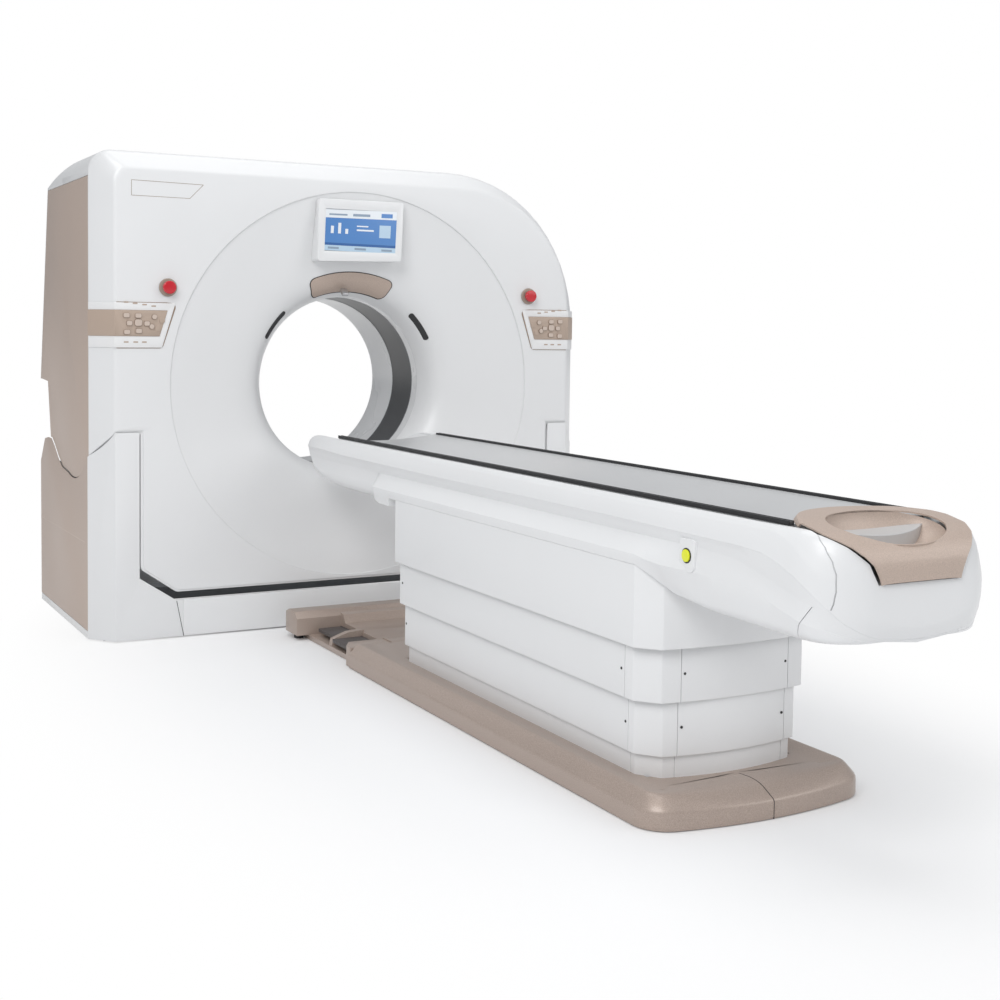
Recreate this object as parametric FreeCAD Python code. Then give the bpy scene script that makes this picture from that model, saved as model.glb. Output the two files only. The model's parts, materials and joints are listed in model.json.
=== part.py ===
import FreeCAD, Part

import math
import os

Vector = FreeCAD.Vector

# CT scanner, all sizes in mm. X runs across the machine, Y from the table into the gantry, Z up.
# The origin is on the floor, straight under the isocentre, and y = 0 is the scan plane.

# Driving dimensions of the gantry
iso_height = 958.5
bore_radius = 350.0
dish_radius = 765.0
half_width = 1050.0
top_rim = 106.5
belly_rim = 18.5
gantry_top = iso_height + dish_radius + top_rim
front_y = -350.0
cover_wall = 8.0
panel_gap = 2.5
seat_gap = 0.3

# The dish and funnel in the front cover, and the flared rear opening: radius and y of each turn
dish_foot = (bore_radius + 90.0, -275.0)
funnel_middle = (bore_radius + 41.0, -244.0)
front_lip_y = -151.0
window_half_length = 100.0
rear_lip_y = 324.0
rear_flare = (bore_radius + 50.0, 390.0)
rear_mouth = (bore_radius + 210.0, 740.0)

# The tilting covers: corner radii of the front outline, and how the top falls to the rear
right_corner_radius = 595.0
left_corner_radius = 62.0
front_face_half_width = half_width - 80.0
bevel_depth = 40.0
side_chamfer_y = -258.0
cover_half_width = half_width - 4.5
top_break_y = 50.0
rear_top = (490.0, gantry_top - 85.0)
overhang = (657.0, iso_height - 7.5)
overhang_inner = (505.0, iso_height - 14.5)
rear_corner = (447.0, iso_height - 242.5)
belly_half_width = half_width - 175.0
belly_bottom = iso_height - dish_radius - belly_rim
belly_corner = (half_width - 311.0, belly_bottom + 95.0)
belly_rear = ((350.0, belly_bottom), (600.0, belly_bottom + 245.0))
joint_z = iso_height - 168.5
wide_bottom = joint_z - 230.0
front_split_y = -252.0
rear_split_y = 200.0

# The seam between tilting and fixed covers is round about the tilt axis
seam_front_radius = 388.0
seam_side_radius = 366.0
rear_seam = (
    (90.0, iso_height - 354.5), (206.0, iso_height - 343.5), (283.0, iso_height - 313.5),
    (362.0, iso_height - 268.5), (420.0, iso_height - 242.5),
)

# Fixed lower covers and frame
pillar_inner = belly_half_width + 5.0
foot_inner = belly_corner[0] - 25.0
front_cover_height = belly_bottom - 30.0
floor_gap = 6.0
cover_sheet = 6.0
corner_wall = 5.0
corner_return_y = -290.0
rear_cover_y = 622.0
skin_wall = 3.0
outside = half_width + 50.0
above = gantry_top + 70.0
side_panel_bottom = 34.0
fixed_rear = ((549.0, iso_height - 255.5), (638.0, iso_height - 356.5), (635.0, side_panel_bottom))
upright_inner = half_width - 120.0
upright_outer = half_width - 50.0
trunnion_radius = 60.0
trunnion_clearance = 0.05
anchor_radius = 9.0
anchor_x = half_width - 85.0
anchor_rows = (-270.0, 540.0)

# Rotating frame
rotor_inner = bore_radius + 22.0
rotor_outer = dish_radius - 50.0
race_split = bore_radius + 50.0
drum_front = 160.0
drum_rear = 190.0
frame_front = 205.0
frame_rear = 245.0
frame_outer = dish_radius + 5.0

# Patient table
cradle_half_width = 211.0
cradle_top = 777.0
cradle_head_y = -566.0
cradle_foot_y = -3335.0
rim_half_width = 225.0
rim_height = 770.0
crease_half_width = 255.0
crease_height = 713.0
hull_bottom = 606.0
hull_head_y = -400.0
belly_start_y = -2870.0
belly_full_y = -3040.0
tail_corner = 130.0
tail_end_y = -3437.0
trough = ((0.0, 661.0), (118.0, 661.0), (138.0, 706.0), (178.0, 740.0), (213.5, 765.0))
shallow_trough = ((0.0, 699.7), (70.0, 703.7), (140.0, 718.0), (180.0, 742.0), (213.5, 765.0))
deep_trough_end_y = -1640.0
cap_start_y = -3262.0
side_button_y = -2940.0
side_button_z = 662.0
side_button_radius = 15.0
button_depth = 14.0
cap_height = 792.0

# Pedestal shells from the top down: half width, bottom, height, foot end, head end
pedestal_shells = {
    "pedestal_shell_upper": (283.0, 409.0, 197.0, -2836.0, -1280.0),
    "pedestal_shell_second": (268.0, 270.0, 180.0, -2800.0, -1290.0),
    "pedestal_shell_third": (253.0, 131.0, 175.0, -2785.0, -1300.0),
    "pedestal_shell_lower": (242.0, 50.0, 193.0, -2775.0, -1310.0),
}
shell_wall = 3.0
glide_height = 12.0
shell_chamfer = (47.0, 60.0)
table_base_half = 338.0
table_ridge_half = 304.0
table_plateau = 76.0
table_base_wall = 50.0


def box(x0, x1, y0, y1, z0, z1):
    return Part.makeBox(x1 - x0, y1 - y0, z1 - z0, Vector(x0, y0, z0))


def face_of(points):
    return Part.Face(Part.makePolygon(points + [points[0]]))


# Plates cut to an outline seen from the front, from the side and from above
def front_plate(outline, y0, y1):
    face = face_of([Vector(x, y0, z) for x, z in outline])
    return face.extrude(Vector(0, y1 - y0, 0))


def side_plate(outline, x0, x1):
    face = face_of([Vector(x0, y, z) for y, z in outline])
    return face.extrude(Vector(x1 - x0, 0, 0))


def level_plate(outline, z0, z1):
    face = face_of([Vector(x, y, z0) for x, y in outline])
    return face.extrude(Vector(0, 0, z1 - z0))


def mirrored(shape):
    return shape.mirror(Vector(0, 0, 0), Vector(1, 0, 0))


def both_sides(shape):
    return shape.fuse(mirrored(shape))


# A ring or part of a ring about the bore axis; angles run from straight up towards +X
def ring(r0, r1, y0, y1, start=0.0, sweep=360.0):
    corners = [Vector(0, y, iso_height + r) for r, y in ((r0, y0), (r1, y0), (r1, y1), (r0, y1))]
    return turned(face_of(corners), start, sweep)


def turned(face, start=0.0, sweep=360.0):
    centre = Vector(0, 0, iso_height)
    axis = Vector(0, 1, 0)
    if start:
        face.rotate(centre, axis, start)
    return face.revolve(centre, axis, sweep)


def disc_x(radius, x0, x1, y=0.0, z=iso_height):
    return Part.makeCylinder(radius, x1 - x0, Vector(x0, y, z), Vector(1, 0, 0))


def disc_y(radius, y0, y1, x, z):
    return Part.makeCylinder(radius, y1 - y0, Vector(x, y0, z), Vector(0, 1, 0))


def disc_z(radius, z0, z1, x, y):
    return Part.makeCylinder(radius, z1 - z0, Vector(x, y, z0), Vector(0, 0, 1))


# A box with its four upright edges rounded
def rounded_box(x0, x1, y0, y1, z0, z1, radius):
    body = box(x0, x1, y0, y1, z0, z1)
    upright = [edge for edge in body.Edges if abs(edge.tangentAt(0).z) > 0.9]
    return body.makeFillet(radius, upright)


def save(name, *shapes):
    solids = [solid for shape in shapes for solid in shape.Solids]
    whole = solids[0] if len(solids) == 1 else Part.makeCompound(solids)
    whole.exportStep("parts/" + name + ".step")
    print(name, len(solids), "solids", round(whole.Volume / 1000), "cm3")


# ---- Gantry covers that tilt ----

# One front view outline of the tilting covers: square-ish left corner, wide round right corner
def cover_outline(y, half, right_radius, left_radius, top, bottom):
    right_centre = (half - right_radius, top - right_radius)
    left_centre = (-half + left_radius, top - left_radius)
    slant = math.sqrt(0.5)
    right_arc = Part.Arc(
        Vector(half, y, right_centre[1]),
        Vector(right_centre[0] + slant * right_radius, y, right_centre[1] + slant * right_radius),
        Vector(right_centre[0], y, top),
    )
    left_arc = Part.Arc(
        Vector(left_centre[0], y, top),
        Vector(left_centre[0] - slant * left_radius, y, left_centre[1] + slant * left_radius),
        Vector(-half, y, left_centre[1]),
    )
    corners = [Vector(-half, y, bottom), Vector(half, y, bottom)]
    edges = [
        Part.makeLine(corners[0], corners[1]),
        Part.makeLine(corners[1], Vector(half, y, right_centre[1])),
        right_arc.toShape(),
        Part.makeLine(Vector(right_centre[0], y, top), Vector(left_centre[0], y, top)),
        left_arc.toShape(),
        Part.makeLine(Vector(-half, y, left_centre[1]), corners[0]),
    ]
    return Part.Wire(edges)


# The wide upper block of the covers, smaller by inset all round
def wide_block(inset, bottom):
    bevel_y = front_y + bevel_depth
    share = bevel_depth / (side_chamfer_y - front_y)
    bevel_half = front_face_half_width + share * (cover_half_width - front_face_half_width)
    wires = [
        cover_outline(front_y + inset, front_face_half_width - inset, right_corner_radius - 100 - inset,
                      55 - inset, gantry_top - 68 - inset, bottom),
        cover_outline(bevel_y + inset, bevel_half - inset, right_corner_radius - inset,
                      left_corner_radius - inset, gantry_top - inset, bottom),
        cover_outline(side_chamfer_y + inset, cover_half_width - inset, right_corner_radius + 42 - inset,
                      left_corner_radius + 12 - inset, gantry_top - inset, bottom),
    ]
    front = Part.makeLoft(wires, True, True)
    rear_face = Part.Face(wires[-1])
    rear = rear_face.extrude(Vector(0, rear_mouth[1] - side_chamfer_y, 0))
    profile = [
        (front_y - 10, bottom - 10),
        (front_y - 10, gantry_top + 10 - inset),
        (top_break_y, gantry_top + 0.01 - inset),
        (rear_top[0] - inset, rear_top[1] - inset),
        (overhang[0] - inset, overhang[1]),
        (overhang_inner[0] - inset, overhang_inner[1] + inset),
        (rear_corner[0] - inset, rear_corner[1]),
        (rear_corner[0] - inset - 7, bottom - 10),
    ]
    return front.fuse(rear).common(side_plate(profile, -half_width - 10, half_width + 10))


# The narrower lower block between the fixed corner covers
def belly_block(inset, top):
    half = belly_half_width - inset
    low = belly_bottom + inset
    outline = [
        (-belly_corner[0], low), (belly_corner[0], low), (half, belly_corner[1]), (half, top),
        (-half, top), (-half, belly_corner[1]),
    ]
    profile = [
        (front_y + inset, low - 10), (belly_rear[0][0], low - 10), (belly_rear[0][0], low),
        (belly_rear[1][0] - inset, belly_rear[1][1]), (overhang[0] - inset, overhang[1]),
        (front_y + inset, overhang[1]),
    ]
    return front_plate(outline, front_y + inset, 700).common(side_plate(profile, -half, half))


# The visible face of the dish and funnel, as edges from the rim to the lip, moved in by offset
def dish_edges(offset):
    rim = Vector(0, front_y + offset, iso_height + dish_radius)
    foot = Vector(0, dish_foot[1] + offset, iso_height + dish_foot[0] + 0.5 * offset)
    middle = Vector(0, funnel_middle[1] + 0.7 * offset, iso_height + funnel_middle[0] + 0.7 * offset)
    lip = Vector(0, front_lip_y, iso_height + bore_radius + offset)
    return [Part.makeLine(rim, foot), Part.Arc(foot, middle, lip).toShape()]


def dish_wall(wall):
    seen = dish_edges(0.0)
    hidden = dish_edges(wall)
    lip = Part.makeLine(seen[-1].lastVertex().Point, hidden[-1].lastVertex().Point)
    rim = Part.makeLine(seen[0].firstVertex().Point, hidden[0].firstVertex().Point)
    return turned(Part.Face(Part.Wire(Part.__sortEdges__(seen + hidden + [lip, rim]))))


# The flared opening at the rear, as a wall or as the free space inside it
def rear_flare_wall(wall):
    inner = [(bore_radius, rear_lip_y), rear_flare, rear_mouth]
    outer = [(r + wall, y - 0.5 * wall) for r, y in reversed(inner)]
    outer[-1] = (bore_radius + wall, rear_lip_y)
    return turned(face_of([Vector(0, y, iso_height + r) for r, y in inner + outer]))


def rear_flare_space():
    edge = [(0, rear_lip_y), (bore_radius, rear_lip_y), rear_flare, rear_mouth, (0, rear_mouth[1])]
    return turned(face_of([Vector(0, y, iso_height + r) for r, y in edge]))


# Everything that lies above the side seam, grown by gap
def seam_body(gap):
    flat = front_face_half_width
    inner = belly_half_width - 15
    profile = [
        (inner, 0), (inner, seam_front_radius + gap), (flat, seam_front_radius + gap),
        (cover_half_width, seam_side_radius + gap), (outside, seam_side_radius + gap), (outside, 0),
    ]
    face = face_of([Vector(x, 0, iso_height + r) for x, r in profile])
    round_part = face.revolve(Vector(0, 0, iso_height), Vector(1, 0, 0), 360)
    edge = [(y, z - gap) for y, z in rear_seam]
    edge[-1] = (rear_seam[-1][0] + gap, rear_seam[-1][1] - gap)
    outline = [(0, iso_height)] + edge + [(900, edge[-1][1]), (900, iso_height)]
    whole = round_part.fuse(side_plate(outline, inner, outside))
    return both_sides(whole)


def below_seam():
    outboard = box(belly_half_width + 1, outside, front_y - 70, 900, 0, iso_height)
    return both_sides(outboard).cut(seam_body(0.0))


# Outline of a tilting side panel, grown by g
def upper_panel_outline(top, g):
    start, low = front_split_y + 2 - g, wide_bottom - 60
    return [
        (start, low), (start, top + g), (rear_top[0] - 4 + g, top + g),
        (overhang[0] - 2 + g, overhang[1] + 1 - g), (overhang_inner[0] + g, overhang_inner[1] + 1 - g),
        (rear_corner[0] + g, rear_corner[1] - 2), (rear_corner[0] + g, low),
    ]


left_panel_top = gantry_top - 95.0
right_panel_top = gantry_top - 658.0
panel_seat = 4.0
panel_thickness = 3.8


def panel_plates(g, depth):
    outer = cover_half_width
    left = side_plate(upper_panel_outline(left_panel_top, g), -outer, -outer + depth)
    right = side_plate(upper_panel_outline(right_panel_top, g), outer - depth, outer)
    return left, right


def tilting_covers():
    wide = wide_block(0.0, wide_bottom).cut(wide_block(cover_wall, wide_bottom - 60))
    belly = belly_block(0.0, joint_z).cut(belly_block(cover_wall, joint_z + 110))
    dish_hole = disc_y(dish_radius, front_y - 20, front_lip_y, 0, iso_height)
    below = below_seam()
    wide = wide.cut(below).cut(Part.makeCompound(list(panel_plates(1.5, panel_seat))))
    front_zone = box(-outside, outside, front_y - 20, front_split_y, 0, above)
    middle_zone = box(-outside, outside, front_split_y, rear_split_y, 0, above)
    rear_zone = box(-outside, outside, rear_split_y, 800, 0, above)
    flare = rear_flare_space()
    shell = wide.fuse(belly)
    front = shell.common(front_zone).cut(dish_hole).fuse(dish_wall(cover_wall - 2))
    rear = shell.common(rear_zone).cut(flare)
    outer_block = wide_block(0.0, wide_bottom).fuse(belly_block(0.0, joint_z))
    rear = rear.fuse(rear_flare_wall(cover_wall - 2).common(outer_block))
    save("front_cover", front.removeSplitter())
    save("top_cover", wide.common(middle_zone))
    save("belly_cover", belly.common(middle_zone).cut(wide))
    save("rear_cover", rear.removeSplitter())
    save("upper_side_panels", *[plate.cut(below) for plate in panel_plates(0.0, panel_thickness)])


def bore_lining():
    window = window_half_length
    front = ring(bore_radius, bore_radius + 6, front_lip_y, -window)
    rear = ring(bore_radius, bore_radius + 6, window, rear_lip_y)
    save("bore_liners", front, rear)
    save("scan_window", ring(bore_radius, bore_radius + 4, -window, window))


# ---- Things on the front cover ----

display_top = iso_height + dish_radius - 34.5
screen_top = display_top - 39.0
display_corners = (
    (-186.0, display_top - 245.0), (172.0, display_top - 237.0), (182.0, display_top), (-182.0, display_top),
)
screen_corners = (
    (-158.0, screen_top - 164.0), (145.0, screen_top - 164.0), (152.0, screen_top), (-152.0, screen_top),
)
display_depth = 22.0
display_corner_radius = 12.0
screen_recess = 4.0
screen_set_back = 1.0
arch_radii = (bore_radius + 22.0, bore_radius + 100.0)
arch_half_angle = 24.0
slot_radii = (bore_radius + 41.0, bore_radius + 51.0)
slot_angles = (43.8, 63.1)
arch_thickness = 2.0
slot_thickness = 1.2
estop_x = front_face_half_width - 196.0
estop_z = iso_height + 368.0
estop_travel_gap = 0.3
estop_collar_radius = 34.0
estop_collar_height = 8.0
estop_bore = 12.0
# Stop button head, turned about its own axis: radius and distance in front of the cover
estop_head = ((0.0, 34.0), (14.0, 33.0), (20.0, 29.0), (21.0, 24.0), (20.0, 19.0), (0.0, 16.0))
control_top = iso_height + 309.5
control_bottom = iso_height + 142.5
control_tips = ((front_face_half_width - 225.0, control_top), (front_face_half_width - 174.0, control_bottom))
control_proud = 4.0
control_start_x = front_face_half_width - 270.0
field_top = iso_height + 281.5
field_bottom = iso_height + 185.5
field_tips = (front_face_half_width - 194.0, front_face_half_width - 164.0)
field_proud = 1.5
key_proud = 4.5
key_corner_radius = 6.0
# Raised keys of a panel: distance from the edge of the front face, height over the field, width, height
keys = (
    (40.0, 77.0, 24.0, 20.0), (84.0, 78.0, 26.0, 16.0), (51.0, 48.0, 16.0, 24.0),
    (84.0, 48.0, 18.0, 18.0), (116.0, 48.0, 16.0, 24.0), (42.0, 17.0, 24.0, 20.0),
    (84.0, 19.0, 26.0, 16.0), (173.0, 60.0, 20.0, 20.0), (157.0, 28.0, 20.0, 20.0),
)


def display():
    behind_dish = turned(face_of([
        Vector(0, front_y, iso_height + dish_radius), Vector(0, dish_foot[1], iso_height + dish_foot[0]),
        Vector(0, -100, iso_height + dish_foot[0]), Vector(0, -100, iso_height + dish_radius),
    ]))
    bezel = front_plate(display_corners, front_y - display_depth, dish_foot[1])
    upright = [edge for edge in bezel.Edges if abs(edge.tangentAt(0).y) > 0.9]
    bezel = bezel.makeFillet(display_corner_radius, upright)
    face_y = front_y - display_depth
    recess = front_plate(screen_corners, face_y - 1, face_y + screen_recess)
    glass = front_plate(screen_corners, face_y + screen_set_back, face_y + screen_recess)
    save("display_bezel", bezel.cut(recess).cut(behind_dish))
    save("display_screen", glass)


# A thin strip that lies on the funnel between two radii, cut out of a wall over its visible face
def funnel_strip(radii, start, sweep, thickness):
    seen = dish_edges(0.0)
    lifted = [edge.copy() for edge in dish_edges(0.0)]
    shift = Vector(0, -thickness, -thickness)
    for edge in lifted:
        edge.translate(shift)
    ends = [
        Part.makeLine(seen[0].firstVertex().Point, lifted[0].firstVertex().Point),
        Part.makeLine(seen[-1].lastVertex().Point, lifted[-1].lastVertex().Point),
    ]
    face = Part.Face(Part.Wire(Part.__sortEdges__(seen + lifted + ends)))
    strip = turned(face, start, sweep)
    return strip.common(ring(radii[0], radii[1], front_y - 10, front_lip_y))


def funnel_fittings():
    save("arch_panel", funnel_strip(arch_radii, -arch_half_angle, 2 * arch_half_angle, arch_thickness))
    sweep = slot_angles[1] - slot_angles[0]
    right = funnel_strip(slot_radii, slot_angles[0], sweep, slot_thickness)
    save("funnel_slots", right, mirrored(right))


# A control panel: a thin plate bent round the side chamfer, with a slanted inner end
def control_plate(z0, z1, proud, start_x):
    outer_y = front_y - proud
    bend = front_face_half_width + 0.4 * proud
    end_x = cover_half_width + 0.75 * proud
    plan = [
        (-start_x, front_y), (-start_x, outer_y), (-bend, outer_y),
        (-end_x, side_chamfer_y - 0.62 * proud), (-cover_half_width, side_chamfer_y),
        (-front_face_half_width, front_y),
    ]
    return level_plate(plan, z0, z1)


def control_panel():
    plate = control_plate(control_bottom, control_top, control_proud, control_start_x)
    (upper_x, upper_z), (lower_x, lower_z) = control_tips
    outline = [(-outside, lower_z), (-lower_x, lower_z), (-upper_x, upper_z), (-outside, upper_z)]
    return plate.common(front_plate(outline, front_y - 50, front_y + 150))


def keypad_field():
    plate = control_plate(field_bottom, field_top, control_proud + field_proud, control_start_x)
    upper_x, lower_x = field_tips
    outline = [
        (-outside, field_bottom), (-lower_x, field_bottom), (-upper_x, field_top), (-outside, field_top),
    ]
    field = plate.common(front_plate(outline, front_y - 50, front_y + 150))
    for edge_distance, rise, width, height in keys:
        x, z = edge_distance - front_face_half_width, field_bottom + rise
        base_y = front_y - control_proud
        cap = box(x - width / 2, x + width / 2, base_y - key_proud, base_y, z - height / 2, z + height / 2)
        upright = [edge for edge in cap.Edges if abs(edge.tangentAt(0).y) > 0.9]
        field = field.fuse(cap.makeFillet(key_corner_radius, upright))
    return field


def controls():
    panel = control_panel()
    field = keypad_field()
    panel = panel.cut(field)
    save("control_panels", panel, mirrored(panel))
    save("keypads", field, mirrored(field))
    collar_front = front_y - estop_collar_height
    collar = disc_y(estop_collar_radius, collar_front, front_y, -estop_x, estop_z)
    collar = collar.cut(disc_y(estop_bore, collar_front - 1, front_y, -estop_x, estop_z))
    save("stop_button_collars", collar, mirrored(collar))
    stem = disc_y(estop_bore - estop_travel_gap, collar_front - 14, collar_front + 1, -estop_x, estop_z)
    points = [Vector(-estop_x + r, front_y - proud, estop_z) for r, proud in estop_head]
    head = face_of(points).revolve(Vector(-estop_x, 0, estop_z), Vector(0, 1, 0), 360)
    button = head.fuse(stem).removeSplitter()
    save("stop_button_left", button)
    save("stop_button_right", mirrored(button))


# ---- Tilt frame, trunnions and the rotating frame ----

arm_half_height = 80.0
arm_outer = upright_inner - 40.0
arm_inner = frame_outer + (arm_outer - frame_outer) / 6
trunnion_end = upright_outer + 27.0
arm_front_y = -70.0
strut_top = gantry_top - 46.6
strut_half_width = 60.0
stator_radii = (rotor_outer - 215.0, rotor_outer - 155.0)
stator_sweep = 60.0


def tilt_frame():
    plate = ring(race_split + 20, frame_outer, frame_front, frame_rear)
    root_x = frame_outer - 30
    plan = [
        (root_x, frame_front), (arm_inner, frame_front), (arm_inner, arm_front_y), (arm_outer, arm_front_y),
        (arm_outer, frame_rear), (root_x, frame_rear),
    ]
    arm = level_plate(plan, iso_height - arm_half_height, iso_height + arm_half_height)
    shaft = disc_x(trunnion_radius, arm_outer - 20, trunnion_end)
    strut_bottom = iso_height + frame_outer - 20
    strut = box(-strut_half_width, strut_half_width, frame_front, frame_rear, strut_bottom, strut_top)
    frame = plate.fuse(strut).fuse(both_sides(arm)).fuse(both_sides(shaft))
    save("tilt_frame", frame.removeSplitter())
    save("main_bearing_outer_race", ring(race_split, race_split + 20, frame_front, frame_rear))
    stator_front = drum_rear + 4
    save("drive_stator", ring(*stator_radii, stator_front, frame_front, 180 - stator_sweep / 2, stator_sweep))


tube_radius = 100.0
tube_reach = rotor_outer - 125.0
tube_front_y = -110.0
collimator_reach = (rotor_inner + 23.0, tube_reach - tube_radius)
collimator_half_width = 70.0
slip_ring_radii = (rotor_outer - 115.0, rotor_outer - 25.0)
detector_radii = (rotor_outer - 155.0, rotor_outer - 95.0)
detector_half_depth = 50.0
detector_half_sweep = 28.0
# Units bolted round the drum: inner and outer radius, front y, start angle and sweep from straight up
drum_units = {
    "high_voltage_generator": (rotor_inner + 68.0, rotor_outer - 25.0, -90.0, 50.0, 60.0),
    "detector_electronics": (rotor_outer - 95.0, rotor_outer - 25.0, -60.0, 150.0, 60.0),
    "counterweight": (rotor_outer - 175.0, rotor_outer - 15.0, -60.0, -110.0, 50.0),
}


def rotating_frame():
    drum = ring(rotor_inner, rotor_outer, drum_front, drum_rear)
    hub = ring(rotor_inner, rotor_inner + 20, drum_rear, frame_front)
    save("rotor_drum", drum.fuse(hub).removeSplitter())
    save("main_bearing_inner_race", ring(rotor_inner, race_split - 0.05, frame_front, frame_rear))
    save("slip_ring", ring(*slip_ring_radii, drum_rear, drum_rear + 8))
    save("x_ray_tube", disc_y(tube_radius, tube_front_y, drum_front, 0, iso_height + tube_reach))
    low, high = (iso_height + reach for reach in collimator_reach)
    half = collimator_half_width
    save("collimator", box(-half, half, -60, drum_front, low, high))
    start, sweep = 180 - detector_half_sweep, 2 * detector_half_sweep
    save("detector_arc", ring(*detector_radii, -detector_half_depth, detector_half_depth, start, sweep))
    for name, (inner, outer, unit_front, start, sweep) in drum_units.items():
        save(name, ring(inner, outer, unit_front, drum_front, start, sweep))


# ---- Fixed gantry frame and covers ----

beam_height = 85.0
beam = (upright_inner - 30.0, upright_outer, front_y + 60.0, 590.0)
gear_housing_width = 30.0
tilt_motor_place = (220.0, iso_height - 228.5)
bearing_outer = 100.0
cross_member_height = 55.0
cross_members = ((-110.0, 110.0), (420.0, 540.0))


def gantry_floor_frame():
    x0, x1, y0, y1 = beam
    frame = both_sides(box(x0, x1, y0, y1, 0, beam_height))
    for start, end in cross_members:
        frame = frame.fuse(box(-x0, x0, start, end, 0, cross_member_height))
    front_bracket = box(x0, x0 + 60, front_y + corner_wall, y0 + 1, 20, 60)
    rear_bracket = box(x0, x0 + 60, y1 - 1, rear_cover_y, 20, 60)
    side_bracket = box(x1 - 1, half_width - skin_wall, 100, 160, 40, 80)
    for bracket in (front_bracket, rear_bracket, side_bracket):
        frame = frame.fuse(both_sides(bracket))
    for y in anchor_rows:
        frame = frame.cut(both_sides(disc_z(anchor_radius, -1, beam_height + 1, anchor_x, y)))
    save("gantry_floor_frame", frame.removeSplitter())


upright_foot = 200.0
upright_waist = 130.0
upright_head_radius = 150.0


def upright():
    foot, waist, waist_z = upright_foot, upright_waist, iso_height - 458.5
    outline = [
        (-foot, beam_height), (foot, beam_height), (waist, waist_z), (waist, iso_height),
        (-waist, iso_height), (-waist, waist_z),
    ]
    web = side_plate(outline, upright_inner, upright_outer)
    head = disc_x(upright_head_radius, upright_inner, upright_outer)
    low, high = 0.55 * foot, 0.58 * waist
    top = waist_z + 100
    window = side_plate([(-low, 200), (low, 200), (high, top), (-high, top)], arm_outer, outside)
    post = web.fuse(head).cut(disc_x(bearing_outer, arm_outer, outside)).cut(window)
    return post.removeSplitter()


def tilt_stands():
    post = upright()
    save("tilt_uprights", post, mirrored(post))
    bush = disc_x(bearing_outer, upright_inner, upright_outer)
    bush = bush.cut(disc_x(trunnion_radius + trunnion_clearance, arm_outer, outside))
    save("trunnion_bearings", bush, mirrored(bush))
    motor_y, motor_z = tilt_motor_place
    side = 50
    outline = [
        (-90, iso_height - 88), (-90, iso_height + 82), (60, iso_height + 82), (motor_y + side, motor_z + 70),
        (motor_y + side, motor_z - 70), (motor_y - side, motor_z - 70),
    ]
    housing = side_plate(outline, upright_outer, upright_outer + gear_housing_width)
    housing = housing.cut(disc_x(trunnion_radius + 2, arm_outer, outside))
    motor = disc_x(side, upright_inner - 25, upright_outer, motor_y, motor_z)
    save("tilt_gear_motor", mirrored(housing.fuse(motor)))


# White corner cover: front wall, side chamfer, a short inner return, the foot and the sill strip
def corner_cover():
    wall = corner_wall
    inner = pillar_inner + wall
    plan = [
        (pillar_inner, corner_return_y), (pillar_inner, front_y), (front_face_half_width, front_y),
        (half_width, side_chamfer_y + 3), (half_width, front_split_y), (half_width - wall, front_split_y),
        (half_width - wall, side_chamfer_y + 5), (front_face_half_width - 2, front_y + wall),
        (inner, front_y + wall), (inner, corner_return_y),
    ]
    column = level_plate(plan, floor_gap, joint_z + 10)
    slope_top = belly_corner[1] - 30
    foot_outline = [
        (foot_inner, floor_gap), (foot_inner, front_cover_height), (belly_corner[0] + 3, front_cover_height),
        (inner, slope_top), (inner, floor_gap),
    ]
    foot = front_plate(foot_outline, front_y, front_y + wall)
    sill_end = fixed_rear[2][0] - 5
    sill = box(half_width - 4, half_width, front_split_y, sill_end, floor_gap, side_panel_bottom - 1)
    return column.fuse(foot).fuse(sill).cut(seam_body(panel_gap)).removeSplitter()


def lower_panel_outline():
    rear_end = rear_seam[-1]
    return [
        (front_split_y + 2, side_panel_bottom), fixed_rear[2], fixed_rear[1], fixed_rear[0],
        (rear_end[0] + 3, rear_end[1] + 5), (front_split_y + 2, rear_end[1] + 5),
    ]


def fixed_covers():
    corner = corner_cover()
    save("corner_covers", corner, mirrored(corner))
    skin = side_plate(lower_panel_outline(), half_width - skin_wall, half_width).cut(seam_body(3.5))
    save("lower_side_panels", skin, mirrored(skin))
    reach = foot_inner - seat_gap
    front_sheet = box(-reach, reach, front_y, front_y + cover_sheet, floor_gap, front_cover_height)
    save("base_front_cover", front_sheet)
    edge = half_width - corner_wall
    top = fixed_rear[1][1] - 4
    bar_top = front_cover_height + 5
    rear_outline = [
        (-edge, floor_gap), (edge, floor_gap), (edge, top), (pillar_inner, top), (pillar_inner, bar_top),
        (-pillar_inner, bar_top), (-pillar_inner, top), (-edge, top),
    ]
    save("base_rear_cover", front_plate(rear_outline, rear_cover_y, rear_cover_y + cover_sheet))


# ---- Patient table: upper body, pedestal and base ----

# Half width of the tail at y: straight sides, then a round corner in plan
def tail_half_width(y):
    corner_y = tail_end_y + tail_corner
    if y >= corner_y:
        return crease_half_width
    depth = corner_y - y
    return crease_half_width - tail_corner + math.sqrt(max(tail_corner ** 2 - depth ** 2, 0.0))


# One closed section of the long table body, from the rim round the keel and back
def hull_wire(y, half, top, crease, low_crease, keel):
    ratio = half / crease_half_width
    outline = [
        (rim_half_width * ratio - 2, top), (half - 14 * ratio, top - 12), (half, crease),
        (half, low_crease), (0.78 * half, keel + 0.3 * (low_crease - keel)),
        (0.4 * half, keel + 6), (0, keel),
    ]
    mirror_half = [(-x, z) for x, z in reversed(outline[:-1])]
    points = [Vector(x, y, z) for x, z in outline + mirror_half]
    return Part.makePolygon(points + [points[0]])


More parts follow.
